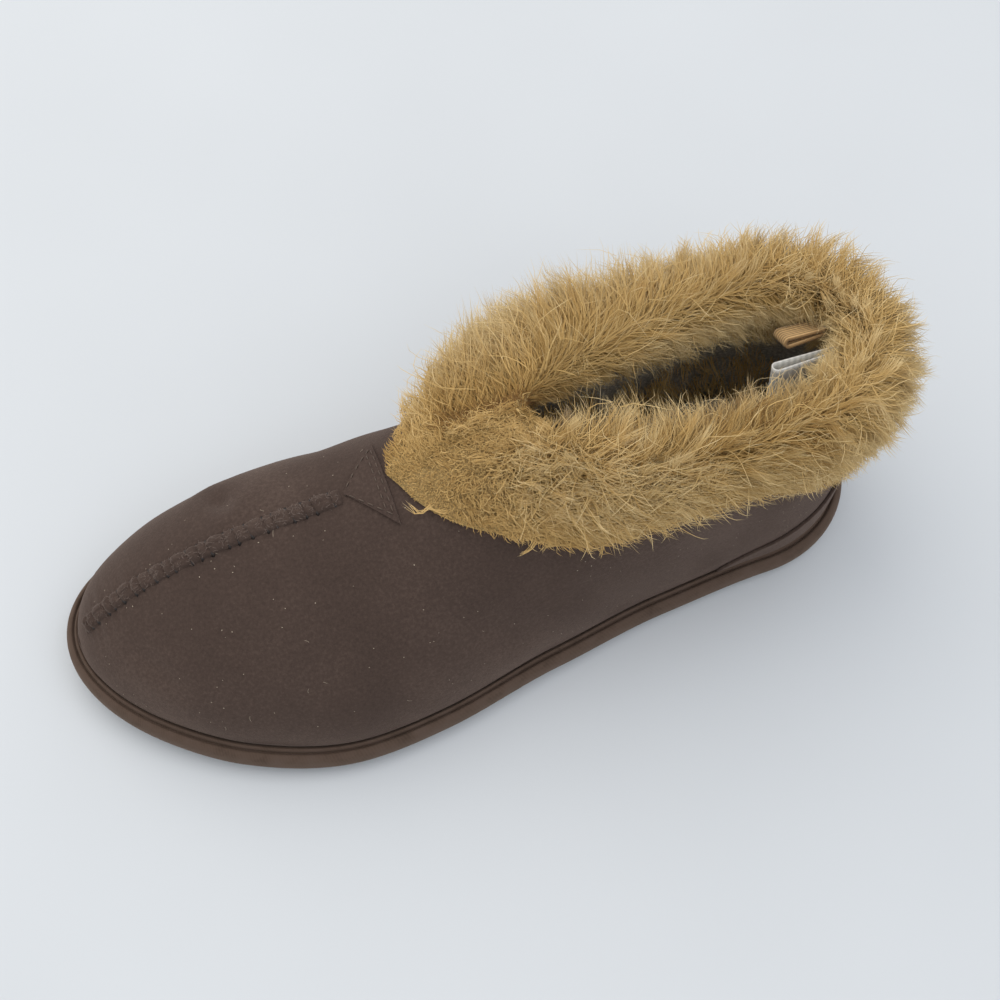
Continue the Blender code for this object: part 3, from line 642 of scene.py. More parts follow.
def tube_mesh(name, paths, outs, radii, sides=6):
    """Round threads along paths (pieces, rings, 3). outs points out of the cloth, radii has one per ring."""
    count, rings, _ = paths.shape
    along = unit(np.gradient(paths, axis=1))
    aside = unit(np.cross(along, outs))
    out = np.cross(aside, along)
    turns = np.arange(sides) / sides * math.tau
    ring = aside[:, :, None, :] * np.cos(turns)[:, None] + out[:, :, None, :] * np.sin(turns)[:, None]
    verts = paths[:, :, None, :] + ring * np.asarray(radii)[:, None, None]
    faces = []
    for low in range(0, (rings - 1) * sides, sides):
        for side in range(sides):
            other = (side + 1) % sides
            faces.append((low + side, low + other, low + sides + other, low + sides + side))
    faces.append(tuple(reversed(range(sides))))
    faces.append(tuple(range((rings - 1) * sides, rings * sides)))
    return array_mesh(name, verts.reshape(count, rings * sides, 3), faces)[0]


def fibre_mesh(name, luck, centres, outs, spans, widths):
    """Short bent fibres that lie loosely on a surface, each turned its own way."""
    count = len(centres)
    way = unit(np.cross(outs, luck.normal(0, 1, (count, 3))))
    bend = np.cross(way, outs)
    t = np.linspace(-0.5, 0.5, 5)[None, :, None]
    arc = way[:, None] * t + bend[:, None] * (t**2 - 0.1) * luck.normal(0, 0.8, (count, 1, 1))
    paths = centres[:, None] + arc * spans[:, None, None] + outs[:, None] * (0.1 * MM)
    tones = luck.uniform(0.05, 0.95, count)
    return strand_mesh(name, paths, bend[:, None], widths[:, None] * np.ones(4), tones, outs)


def stitch_paths(points, outs, spacing, share, depth):
    """Paths of topstitches along a line of points: each rises out of the cloth and dips into it again."""
    steps = np.linalg.norm(np.diff(points, axis=0), axis=1)
    run = np.concatenate([[0], np.cumsum(steps)])
    count = max(1, int(run[-1] / spacing))
    lift = np.array((-1.0, 0.35, 0.75, 0.75, 0.35, -1.0)) * depth
    at = (np.arange(count)[:, None] + 0.5 + np.linspace(-0.5, 0.5, len(lift)) * share) * run[-1] / count
    line = np.stack([np.interp(at, run, points[:, axis]) for axis in range(3)], -1)
    out = unit(np.stack([np.interp(at, run, outs[:, axis]) for axis in range(3)], -1))
    return line + out * lift[None, :, None], out


THREAD_TAPER = np.array((0.6, 0.95, 1.0, 1.0, 0.95, 0.6))
# Scale of a wave texture whose bands are 1 apart
WAVE = math.tau / 20


def add_node(tree, kind, output, inputs, **settings):
    """Adds a shader node, sets it up, fills or links its inputs, and gives one of its outputs.

    A ramp is given as places and colours."""
    made = tree.nodes.new("ShaderNode" + kind)
    ramp = settings.pop("ramp", ())
    for name, value in settings.items():
        setattr(made, name, value)
    if ramp:
        elements = made.color_ramp.elements
        while len(elements) < len(ramp):
            elements.new(0.5)
        for element, (place, colour) in zip(elements, ramp):
            element.position = place
            element.color = (*colour, 1.0)
    for name, value in inputs.items():
        if isinstance(value, bpy.types.NodeSocket):
            tree.links.new(value, made.inputs[name])
        else:
            made.inputs[name].default_value = value
    return made.outputs[output]


def new_surface(name, roughness, **constants):
    """Named material and its node tree, with the constants set on the shader's own sockets."""
    surface = bpy.data.materials.new(name)
    surface.use_nodes = True
    shader = surface.node_tree.nodes["Principled BSDF"]
    shader.inputs["Roughness"].default_value = roughness
    for key, value in constants.items():
        shader.inputs[key.replace("_", " ").title().replace("Ior", "IOR")].default_value = value
    return surface, surface.node_tree


def coloured(surface, colour, normal=None):
    """Links a colour, and a bumped normal where there is one, to a material's shader."""
    links = surface.node_tree.links
    shader = surface.node_tree.nodes["Principled BSDF"]
    links.new(colour, shader.inputs["Base Color"])
    if normal is not None:
        links.new(normal, shader.inputs["Normal"])
    return surface


def per_mm(size):
    """Scale of a texture on metres whose features are a size in millimetres."""
    return 1 / (size * MM)


def shade(colour, factor):
    return tuple(part * factor for part in colour)


def microsuede(colours):
    """Brushed polyester suede: matt, with a short nap that lightens at grazing angles and where stroked."""
    sheen = dict(sheen_weight=0.35, sheen_roughness=0.45, sheen_tint=(*linear("#b7a294"), 1))
    surface, tree = new_surface("brushed microsuede", 0.95, specular_ior_level=0.15, **sheen)
    place = add_node(tree, "TexCoord", "Object", {})
    large = {"Vector": place, "Scale": per_mm(38), "Detail": 2.0, "Roughness": 0.5}
    small = {"Vector": place, "Scale": per_mm(1.1), "Detail": 4.0, "Roughness": 0.7}
    stroke = add_node(tree, "TexNoise", "Fac", large)
    fleck = add_node(tree, "TexNoise", "Fac", small)
    both = add_node(tree, "Mix", 0, {0: 0.6, 2: stroke, 3: fleck}, data_type="FLOAT")
    ramp = [(0.30, shade(colours.suede, 0.72)), (0.50, colours.suede), (0.72, colours.suede_light)]
    nap = add_node(tree, "ValToRGB", "Color", {"Fac": both}, ramp=ramp)
    fine = {"Vector": place, "Scale": per_mm(0.7), "Detail": 5.0, "Roughness": 0.75}
    grain = add_node(tree, "TexNoise", "Fac", fine)
    bump = add_node(tree, "Bump", "Normal", {"Strength": 0.45, "Distance": 0.35 * MM, "Height": grain})
    return coloured(surface, nap, bump)


def twill_tape(colours, sizes, run):
    """Brushed cotton tape round the sole: felted by wear, so that its slanting ribs only just show, and
    darker where it lies low, as painted shade.
    """
    sheen = dict(sheen_weight=0.25, sheen_roughness=0.5, sheen_tint=(*linear("#b09a86"), 1))
    surface, tree = new_surface("ribbed twill tape", 0.9, specular_ior_level=0.2, **sheen)
    weave = add_node(tree, "UVMap", "UV", {}, uv_map="weave")
    slant = {"Vector": weave, "Rotation": (0, 0, math.radians(24)), "Scale": (run, 20 * MM, 1)}
    lay = add_node(tree, "Mapping", "Vector", slant)
    rows = {"Vector": lay, "Scale": WAVE / sizes.rib, "Distortion": 1.2, "Detail": 2.0, "Detail Scale": 2.5}
    ribs = add_node(tree, "TexWave", "Fac", rows)
    place = add_node(tree, "TexCoord", "Object", {})
    felt = {"Vector": place, "Scale": per_mm(7), "Detail": 5.0, "Roughness": 0.65}
    wear = add_node(tree, "TexNoise", "Fac", felt)
    both = add_node(tree, "Mix", 0, {0: 0.9, 2: ribs, 3: wear}, data_type="FLOAT")
    # Low places of the tape take the darker colour as painted shade; its high, worn places are paler.
    ramp = [(0.2, colours.tape_valley_shade), (0.5, colours.tape), (0.85, colours.suede_light)]
    yarn = add_node(tree, "ValToRGB", "Color", {"Fac": both}, ramp=ramp)
    bump = add_node(tree, "Bump", "Normal", {"Strength": 0.35, "Distance": 0.3 * MM, "Height": both})
    return coloured(surface, yarn, bump)


def moulded_sole(colours):
    """Moulded thermoplastic rubber: dull, with a fine pebble and a grip of small studs underneath."""
    surface, tree = new_surface("moulded sole rubber", 0.7)
    place = add_node(tree, "TexCoord", "Object", {})
    studs = {"Vector": place, "Scale": per_mm(3.2)}
    pebble = add_node(tree, "TexVoronoi", "Distance", studs, feature="SMOOTH_F1")
    film = {"Vector": place, "Scale": per_mm(14), "Detail": 4.0, "Roughness": 0.6}
    dust = add_node(tree, "TexNoise", "Fac", film)
    ramp = [(0.3, colours.rubber), (0.75, shade(colours.rubber, 1.9))]
    tone = add_node(tree, "ValToRGB", "Color", {"Fac": dust}, ramp=ramp)
    relief = {"Strength": 0.8, "Distance": 0.5 * MM, "Height": pebble}
    return coloured(surface, tone, add_node(tree, "Bump", "Normal", relief, invert=True))


def acrylic_pile(name, root, body, tip):
    """Long acrylic pile: each strand pales from root to tip, its darker root painted shade deep in the pile,
    and locks differ a little in tone.
    """
    surface, tree = new_surface(name, 0.6, sheen_weight=0.1, sheen_roughness=0.4, specular_ior_level=0.3)
    strand = add_node(tree, "UVMap", "UV", {}, uv_map=STRAND_MAP)
    across = add_node(tree, "SeparateXYZ", "X", {"Vector": strand})
    along = across.node.outputs["Y"]
    ramp = [(0.0, root), (0.35, body), (0.6, body), (1.0, tip)]
    hair = add_node(tree, "ValToRGB", "Color", {"Fac": along}, ramp=ramp)
    ramp = [(0.0, "#86704f"), (0.22, "#cdbfa2"), (0.55, "#efe9dc"), (1.0, "#ffffff")]
    ramp = [(place, linear(code)) for place, code in ramp]
    tone = add_node(tree, "ValToRGB", "Color", {"Fac": across}, ramp=ramp)
    mixed = add_node(tree, "Mix", 2, {0: 1.0, 6: hair, 7: tone}, data_type="RGBA", blend_type="MULTIPLY")
    return coloured(surface, mixed)


def knitted_backing(name, colour):
    """Knitted ground of the fur: matt loops about a millimetre wide."""
    surface, tree = new_surface(name, 0.95)
    place = add_node(tree, "TexCoord", "Object", {})
    loops = add_node(tree, "TexVoronoi", "Distance", {"Vector": place, "Scale": per_mm(1.2)})
    # Darker towards the edge of each loop: painted shade between the loops.
    ramp = [(0.0, colour), (0.7, shade(colour, 0.6))]
    tone = add_node(tree, "ValToRGB", "Color", {"Fac": loops}, ramp=ramp)
    relief = {"Strength": 0.7, "Distance": 0.4 * MM, "Height": loops}
    return coloured(surface, tone, add_node(tree, "Bump", "Normal", relief, invert=True))


def spun_thread(name, colour):
    """Spun polyester sewing thread: a slight shine, mottled by the fuzz of its fibres."""
    surface, tree = new_surface(name, 0.6)
    place = add_node(tree, "TexCoord", "Object", {})
    fuzz = add_node(tree, "TexNoise", "Fac", {"Vector": place, "Scale": per_mm(0.5), "Detail": 3.0})
    ramp = [(0.35, shade(colour, 0.6)), (0.65, colour)]
    return coloured(surface, add_node(tree, "ValToRGB", "Color", {"Fac": fuzz}, ramp=ramp))


def striped_tape(colours):
    """Woven polyester loop: coloured warp yarns side by side, crossed by fine weft ribs."""
    surface, tree = new_surface("striped woven tape", 0.75, sheen_weight=0.1)
    weave = add_node(tree, "UVMap", "UV", {}, uv_map="weave")
    warp = {"Vector": weave, "Scale": WAVE * 7, "Distortion": 0.4, "Detail": 2.0}
    yarns = add_node(tree, "TexWave", "Fac", warp, bands_direction="Y")
    weft = add_node(tree, "TexWave", "Fac", {"Vector": weave, "Scale": WAVE * 40, "Distortion": 0.6})
    ramp = [(0.15, colours.loop_stripe), (0.5, colours.loop), (1.0, shade(colours.loop, 1.35))]
    tone = add_node(tree, "ValToRGB", "Color", {"Fac": yarns}, ramp=ramp)
    bump = add_node(tree, "Bump", "Normal", {"Strength": 0.6, "Distance": 0.2 * MM, "Height": weft})
    return coloured(surface, tone, bump)


def woven_satin(colours):
    """Woven satin label: pale, with a soft gloss and barely visible yarns."""
    surface, tree = new_surface("woven satin", 0.38, sheen_weight=0.2)
    weave = add_node(tree, "UVMap", "UV", {}, uv_map="weave")
    yarns = add_node(tree, "TexWave", "Fac", {"Vector": weave, "Scale": WAVE * 60, "Distortion": 0.8})
    # Darker in the grooves between the yarns: painted shade.
    ramp = [(0.0, shade(colours.label, 0.78)), (1.0, colours.label)]
    tone = add_node(tree, "ValToRGB", "Color", {"Fac": yarns}, ramp=ramp)
    bump = add_node(tree, "Bump", "Normal", {"Strength": 0.3, "Distance": 0.1 * MM, "Height": yarns})
    return coloured(surface, tone, bump)


def matt_paper(colours):
    """Seamless paper under the shoe: flat and pale, with the faintest mottling."""
    surface, tree = new_surface("seamless paper", 0.85)
    place = add_node(tree, "TexCoord", "Object", {})
    cloud = add_node(tree, "TexNoise", "Fac", {"Vector": place, "Scale": per_mm(140), "Detail": 2.0})
    ramp = [(0.3, shade(colours.floor, 0.97)), (0.7, colours.floor)]
    return coloured(surface, add_node(tree, "ValToRGB", "Color", {"Fac": cloud}, ramp=ramp))


def kept(name, make, *given):
    """The material of that name, made the first time that it is asked for."""
    return bpy.data.materials.get(name) or make(*given)


def outsole_floor(share, height):
    """Toe spring, and the shallow arch under the waist that leaves heel and forefoot on the floor."""
    start, end = ARCH_SPAN
    waist = np.clip((share - start) / (end - start), 0.0, 1.0)
    arch = ARCH_LIFT * np.sin(np.pi * waist) ** 2 * np.clip(1 - height / OUTSOLE_THICKNESS, 0, 1)
    return spring(share) + arch


def sprung_floor(share, _height):
    """Toe spring alone, the same at every height of a layer."""
    return spring(share)


def layer(name, node, profile, rows, floor_of, surface, slot):
    """Layer of the sole: its side swept round the outline, closed underneath and on top."""
    bm = sheet_mesh()
    side_rows = rounded(profile, rows) * MM

    def place(turn, side, inset, height):
        share = share_of(turn)
        x, y = sole_edge(share, side, inset)
        return joined(x, y, height + floor_of(share, height)) + SHIFT

    def side_place(around, rise):
        row = side_rows[np.rint(rise * rows).astype(int)]
        step = np.rint(around * 2 * SOLE_STEPS) / SOLE_STEPS
        side = np.where(step <= 1, LATERAL, MEDIAL)
        return place(1 - np.abs(1 - step), side, row[:, 0], row[:, 1])

    lay_sheet(bm, 2 * SOLE_STEPS, rows, side_place)
    for row in (side_rows[0], side_rows[-1]):
        lay_sheet(bm, SOLE_STEPS, CAP_STEPS, lambda a, b, row=row: place(a, 2 * b - 1, row[0], row[1]))
    return finished(name, bm, [surface], (0, 0, side_rows[:, 1].mean()), slot, node)


class SLIPPER_OT_sole(bpy.types.Operator):
    """Outsole, platform with its taped edge and welt, and footbed"""

    bl_idname = "slipper.sole"
    bl_label = "Sole"

    def execute(self, context):
        colours, sizes = context.scene.slipper_colours, context.scene.slipper_sizes
        rubber = moulded_sole(colours)
        layer("outsole_moulded", "outsole", OUTSOLE_PROFILE, 10, outsole_floor, rubber, "outsole")
        edge = sole_edge(np.linspace(0, 1, 400), LATERAL, 0.0)
        run = 2 * np.hypot(np.diff(edge[0]), np.diff(edge[1])).sum()
        tape = twill_tape(colours, sizes, run)
        layer("sole_wrap_tape", "sole_wrap", WRAP_PROFILE, 39, sprung_floor, tape, "sole_tape")
        plush = kept("plush ground", knitted_backing, "plush ground", colours.footbed)
        footbed = layer("insole_plush", "insole", INSOLE_PROFILE, 12, sprung_floor, plush, "plush")
        return {"FINISHED"}


def crease_depth(points):
    """How far out each point of the suede moves for the creases: troughs with a soft lip on both sides."""
    names, *rows = CREASES
    moved = np.zeros(points.shape[:-1])
    for row in rows:
        crease = dict(zip(names, row))
        start = last_point(turn_of(crease["share_a"]), crease["side"], crease["up_a"])
        way = last_point(turn_of(crease["share_b"]), crease["side"], crease["up_b"]) - start
        t = np.clip((points - start) @ way / (way @ way), 0, 1)
        away = np.linalg.norm(points - start - t[..., None] * way, axis=-1) / (crease["width"] * MM)
        fade = 0.35 + 0.65 * np.sin(np.pi * (0.1 + 0.8 * t))
        trough = np.exp(-(away**2)) - CREASE_LIP * np.exp(-((away - 1.9) ** 2))
        moved -= crease["depth"] * MM * trough * fade
    return moved


# Even steps along the toe seam, from the throat (0) to the toe (1), and the stitch at each place
SEAM_TURNS = np.linspace(turn_of(SEAM_START), turn_of(SEAM_END), 400)
SEAM_LINE = last_point(SEAM_TURNS, np.full(400, LATERAL), np.ones(400))
SEAM_STEPS = np.linalg.norm(np.diff(SEAM_LINE, axis=0), axis=1)
SEAM_RUN = np.concatenate([[0], np.cumsum(SEAM_STEPS)]) / SEAM_STEPS.sum()
SEAM_PHASE = SEAM_STITCHES * SEAM_RUN + SEAM_JITTER * np.sin(2.3 * SEAM_STITCHES * SEAM_RUN)


def suede_point(turn, side, up, out=0.0):
    """Point of the finished suede: the last's skin with creases, swell and the toe seam's puckers."""
    skin_points = last_point(turn, side, up)
    moved = crease_depth(skin_points) + SWELL * ripple(skin_points, SWELL_LENGTH, 3)
    along = np.interp(turn, SEAM_TURNS, SEAM_RUN)
    near = np.exp(-np.linalg.norm(skin_points - last_point(turn, side, 1.0), axis=-1) / PUCKER_REACH)
    inside = np.clip(along * 12, 0, 1) * np.clip((1 - along) * 12, 0, 1)
    moved += PUCKER * near * inside * np.cos(math.tau * (np.interp(along, SEAM_RUN, SEAM_PHASE) - 0.5))
    foot = np.clip(np.asarray(up, float) / 0.05, 0, 1)
    moved = moved * foot
    return skin_points + last_normal(turn, side, up) * (moved + out)[..., None]


class SLIPPER_OT_upper(bpy.types.Operator):
    """Suede upper: both halves in one hollow wall, open at the collar and underneath"""

    bl_idname = "slipper.upper"
    bl_label = "Upper"

    def execute(self, context):
        colours = context.scene.slipper_colours
        throat = turn_of(THROAT)
        steps = REAR_STEPS + FRONT_STEPS
        bm = sheet_mesh()
        for side in (LATERAL, MEDIAL):

            def place(along, rise, side=side):
                step = np.rint(along * steps)
                rear = turn_of(THROAT * share_of(np.minimum(step, REAR_STEPS) / REAR_STEPS))
                front = throat + (1 - throat) * (step - REAR_STEPS) / FRONT_STEPS
                turn = np.where(step <= REAR_STEPS, rear, front)
                up = rise * collar_up(turn, side)
                return suede_point(turn, np.full_like(turn, side), up)

            lay_sheet(bm, steps, WALL_ROWS, place)
        suede = kept("brushed microsuede", microsuede, colours)
        lining = kept("plush ground", knitted_backing, "plush ground", colours.footbed)
        upper = finished("upper_suede", bm, [suede, lining], (0, 0, 0.03), "suede", "upper")
        wall = thicken(upper, WALL, -1)
        wall.material_offset = 1
        wall.thickness_clamp = 2.0
        return {"FINISHED"}


def bead_point(along, across, out=0.0):
    """Point of the toe seam's bead: two edges pulled together, dipping under each slanting stitch."""
    turn = np.interp(along, SEAM_RUN, SEAM_TURNS)
    side = np.where(across >= 0, LATERAL, MEDIAL)
    phase = np.interp(along, SEAM_RUN, SEAM_PHASE) + SEAM_SLANT * across
    uneven = 1 + SEAM_UNEVEN * np.sin(np.floor(phase) * 2.4 + np.sign(across) * 0.8)
    full = SEAM_DIP + (1 - SEAM_DIP) * np.abs(np.sin(np.pi * phase)) ** 0.5 * uneven
    ends = round_off(np.minimum(along, 1 - along) * SEAM_STITCHES / 1.2)
    width = np.abs(across) * SEAM_HALF_WIDTH * (0.72 + 0.28 * full)
    height = SEAM_HEIGHT * full * ends * np.maximum(1 - np.abs(across) ** 2.6, 0) ** 0.55
    up = ridge_width_up(turn, side, width)
    return skin(turn, side, up, height + out - 0.2 * MM), last_normal(turn, side, up)


def patch_place(along, across):
    """(turn, side, place up) on the throat patch: along from its point to its base, across from -1 to 1."""
    share = PATCH_POINT + (PATCH_BASE - PATCH_POINT) * along
    turn = turn_of(share)
    side = np.where(across >= 0, LATERAL, MEDIAL)
    width = np.abs(across) * PATCH_HALF_WIDTH * np.maximum(along, 0.04)
    return turn, side, ridge_width_up(turn, side, width)


def counter_place(rise, across):
    """(turn, side, place up) on the heel counter: rise from the sole up, across from -1 to 1."""
    first, last = COUNTER_EDGE[1][0], COUNTER_EDGE[-1][0]
    up = first + (last - first) * rise
    reach = turn_of(column(COUNTER_EDGE, "share", up))
    return np.abs(across) * reach, np.where(across >= 0, LATERAL, MEDIAL), up


def seam_lashes(name, sizes):
    """Slanting threads over the toe seam's bead, one in each dip, their ends sunk into the suede."""
    rings = np.linspace(-1.15, 1.15, 11)
    lashes = np.arange(1, SEAM_STITCHES)[:, None]
    along = np.interp(lashes - SEAM_SLANT * rings[None, :], SEAM_PHASE, SEAM_RUN)
    across = np.broadcast_to(rings, along.shape)
    paths, outs = bead_point(along.ravel(), np.clip(across.ravel(), -1, 1), 0.2 * MM)
    outs = outs.reshape(*along.shape, 3)
    sunk = np.where(np.abs(across) > 1, 0.8 * MM, 0)[..., None]
    radii = sizes.thread * (0.3 + 0.9 * np.abs(rings) ** 6)
    return tube_mesh(name, paths.reshape(*along.shape, 3) - outs * sunk, outs, radii)


def seam_fuzz(name):
    """Fibres of the suede's cut edges that stand out of the toe seam."""
    luck = np.random.default_rng(7)
    along, across = luck.uniform(0.01, 0.99, SEAM_FUZZ), luck.uniform(-1, 1, SEAM_FUZZ)
    centres, outs = bead_point(along, across, 0.1 * MM)
    spans = luck.uniform(0.6, 2.4, SEAM_FUZZ) * MM
    return fibre_mesh(name, luck, centres, outs, spans, np.full(SEAM_FUZZ, 0.11 * MM))


def topstitches(name, sizes):
    """Two rows along the sides of the throat patch and two along its base."""
    t = np.linspace(0, 1, 60)
    places = [patch_place(0.08 + 0.86 * t, np.full(60, edge)) for edge in (-0.84, 0.84)]
    places += [patch_place(np.full(60, base), (2 * t - 1) * 0.8) for base in (0.93, 0.80)]
    rows = []
    for place in places:
        line = suede_point(*place, OVERLAY - 0.1 * MM)
        rows.append(stitch_paths(line, last_normal(*place), sizes.stitch, 0.72, 0.28 * MM))
    paths, outs = (np.concatenate(part) for part in zip(*rows))
    return tube_mesh(name, paths, outs, THREAD_TAPER * sizes.thread / 2)


class SLIPPER_OT_seams(bpy.types.Operator):
    """Whip-stitched toe seam with its lashes, throat patch with its topstitching, and heel counter"""

    bl_idname = "slipper.seams"
    bl_label = "Seams"

    def execute(self, context):
        colours, sizes = context.scene.slipper_colours, context.scene.slipper_sizes
        suede = kept("brushed microsuede", microsuede, colours)
        thread = spun_thread("topstitch thread", colours.thread)
        # The whip-stitch thread is painted far darker than the suede: painted shade in the dips between the
        # pleats of the bead.
        dark = spun_thread("seam thread in painted shade", shade(colours.suede, 0.35))
        fuzz = spun_thread("suede fuzz", shade(colours.suede_light, 1.5))
        bm = sheet_mesh()
        lay_sheet(bm, SEAM_STITCHES * 14, 24, lambda a, b: bead_point(a, 2 * b - 1)[0])
        finished("toe_seam_bead", bm, [suede], (0.06, 0, 0.02), "suede", "toe_seam")
        settled("toe_seam_lashes", seam_lashes("toe_seam_lashes", sizes), [dark], "suede")
        settled("toe_seam_fuzz", seam_fuzz("toe_seam_fuzz"), [fuzz], "suede")

        bm = sheet_mesh()
        lay_sheet(bm, 26, 26, lambda a, b: suede_point(*patch_place(a, 2 * b - 1), out=PATCH_LIFT))
        patch = finished("throat_patch_suede", bm, [suede], (0.03, 0, 0.02), "suede", "throat_patch")
        thicken(patch, OVERLAY - 2 * PATCH_LIFT, 1)
        soften(patch, 0.35 * MM)

        bm = sheet_mesh()
        lay_sheet(bm, 26, 60, lambda a, b: skin(*counter_place(a, 2 * b - 1), COUNTER_LIFT))
        counter = finished("heel_counter_suede", bm, [suede], (0, 0, 0.03), "suede", "heel_counter")
        thicken(counter, OVERLAY, 1)
        soften(counter, 0.5 * MM)
        settled("topstitching", topstitches("topstitching", sizes), [thread], "suede")
        return {"FINISHED"}


def cuff_skin(around, down):
    """(turn, side, place up) on the last, round the cuff and down it from the collar (0) to its edge (1)."""
    around = np.asarray(around, float) % 2
    side = np.where(around < 1, LATERAL, MEDIAL)
    along = share_of(np.abs(around - 1))
    collar, edge = turn_of(THROAT * along), turn_of(CUFF_FRONT * along)
    top, low = collar_up(collar, side), column(CUFF_EDGE, "up", share_of(edge))
    return collar + (edge - collar) * down, side, top + (low - top) * down


def fold(around, across):
    """The cuff's cloth: middle of the wall, way out of the pile, way across to the inside, way to the heel.

    around runs from the front (0) along the outer side to the heel (1) and back along the inner side (2),
    across from the lower edge outside (-1) over the collar (0) to the lower edge inside (1)."""
    around, across = np.broadcast_arrays(np.asarray(around, float), np.asarray(across, float))
    down = np.clip((np.abs(across) - RIM) / (1 - RIM), 0, 1) * np.where(across > 0, CUFF_INSIDE, 1.0)
    place = cuff_skin(around, down)
    point, out = last_point(*place), last_normal(*place)
    up = unit(point - last_point(*cuff_skin(around, down + 0.04)))
    step = 0.012
    nearer = last_point(*cuff_skin(around + step, down)) - last_point(*cuff_skin(around - step, down))
    back = unit(nearer) * place[1][..., None]
    angle = (np.clip(across / RIM, -1, 1) + 1) * (np.pi / 2)
    cos, sin = np.cos(angle)[..., None], np.sin(angle)[..., None]
    return point - out * WALL / 2, out * cos + up * sin, up * cos - out * sin, back


def cloth_point(around, across, lift):
    middle, out, _, _ = fold(around, across)
    return middle + out * (WALL / 2 + lift)


# Even steps round the cuff, front (0) to heel (1) and on to the front (2), as places that fold() takes.
ROUND_PLACES = np.linspace(0, 2, 401)
ROUND_STEPS = np.linalg.norm(np.diff(cloth_point(ROUND_PLACES, -0.4, 0.0), axis=0), axis=1)
ROUND_RUN = np.concatenate([[0], np.cumsum(ROUND_STEPS)])
HEEL_RUN = ROUND_RUN[200]
INNER_RUN = ROUND_RUN[-1] - HEEL_RUN
ROUND_EVEN = np.where(ROUND_PLACES <= 1, ROUND_RUN / HEEL_RUN, 1 + (ROUND_RUN - HEEL_RUN) / INNER_RUN)
BAND_RUN = np.linalg.norm(np.diff(cloth_point(0.5, np.linspace(-1, 0, 60), 0.0), axis=0), axis=1).sum()


def round_place(even):
    return np.interp(np.asarray(even) % 2, ROUND_EVEN, ROUND_PLACES)


class SLIPPER_OT_cuff(bpy.types.Operator):
    """Knitted ground of the fur, folded over the collar, with its pale cut edge"""

    bl_idname = "slipper.cuff"
    bl_label = "Cuff cloth"

    def execute(self, context):
        colours = context.scene.slipper_colours
        bm = sheet_mesh()
        lay_sheet(bm, 170, 32, lambda a, b: cloth_point(round_place(2 * a * (a < 1)), 2 * b - 1, CLOTH_LIFT))
        # The knitted ground under the pile is the fur's colour darkened: painted shade under the hair.
        ground = kept("fur ground", knitted_backing, "fur ground", shade(colours.fur_body, 0.8))
        pale = kept("fur backing edge", knitted_backing, "fur backing edge", colours.backing)
        cloth = finished("cuff_cloth", bm, [ground, pale], (-0.06, 0, 0.05), "fur", "fur_cuff")
        wall = thicken(cloth, CLOTH, 1)
        wall.material_offset_rim = 1
        return {"FINISHED"}


def combed(name, even, across):
    """Value of the comb tables at places round and across the cuff."""
    zones = sorted(COMBED)
    around = np.asarray(even) % 2
    values = np.stack([column((COMB_COLUMNS, *COMBED[zone]), name, around) for zone in zones])
    at = np.clip(np.searchsorted(zones, across, side="right") - 1, 0, len(zones) - 2)
    low, high = np.array(zones)[at], np.array(zones)[at + 1]
    t = np.clip((across - low) / (high - low), 0, 1)
    index = np.arange(len(at))
    return values[at, index] * (1 - t) + values[at + 1, index] * t


def jittered(luck, first, last, steps):
    """Places spread over a stretch, one in each step."""
    return first + (last - first) * (np.arange(steps) + luck.uniform(0, 1, steps)) / steps


def lock_roots(luck, stretch, spacing):
    """Roots of locks spread evenly over a stretch of the cuff, as places round it and across it."""
    first, last, low, high, apart = stretch
    spacing = spacing * apart
    columns = max(2, round((last - first) * HEEL_RUN / spacing))
    rows = max(2, round((high - low) * BAND_RUN / spacing))
    even = np.stack([jittered(luck, first, last, columns) for _ in range(rows)])
    across = np.stack([jittered(luck, low, high, rows) for _ in range(columns)], 1)
    return even.ravel(), across.ravel()


def lock_paths(luck, roots, outs, flows, lifts, lengths, rings, wave):
    """Middle lines of locks: each leaves the cloth, bends over into its flow and waves a little."""
    count = len(roots)
    t = np.linspace(0, 1, rings)[None, :, None]
    lifts = np.maximum(lifts + luck.normal(0, LIFT_SPREAD, count), 0.1)[:, None, None]
    ways = outs[:, None] * lifts * (1.25 - 0.75 * t) + flows[:, None] * (0.25 + 0.85 * t)
    ways = unit(ways - np.array((0, 0, GRAVITY)) * t)
    steps = ways * (lengths / (rings - 1))[:, None, None]
    lines = np.cumsum(steps, 1) - steps
    side = unit(np.cross(outs, flows + 1e-6))[:, None]
    turn = math.tau * (t * luck.uniform(0.5, 1.1, (count, 1, 1)) + luck.uniform(0, 1, (count, 1, 1)))
    bend = (np.sin(turn) - np.sin(turn[:, :1])) * (luck.uniform(*wave, count) * lengths)[:, None, None]
    return roots[:, None] + lines + side * bend * np.sqrt(t)


def dressed(luck, paths, normals, tones, width):
    """What strand_mesh takes: paths, the flat side of each strand, its widths, tone and shading."""
    rings = paths.shape[1]
    along = unit(np.diff(paths, axis=1))
    aside = unit(np.cross(along, FACING + FACING_OUT * normals[:, None]))
    twist = luck.normal(0, STRAND_TWIST, len(paths))[:, None, None]
    sideways = unit(aside * np.cos(twist) + np.cross(along, aside) * np.sin(twist))
    taper = 1 - 0.5 * np.linspace(0, 1, rings - 1) ** 2
    widths = width * luck.uniform(0.7, 1.2, len(paths))[:, None] * taper[None, :]
    return paths, sideways, widths, np.clip(tones, 0.02, 0.98), normals


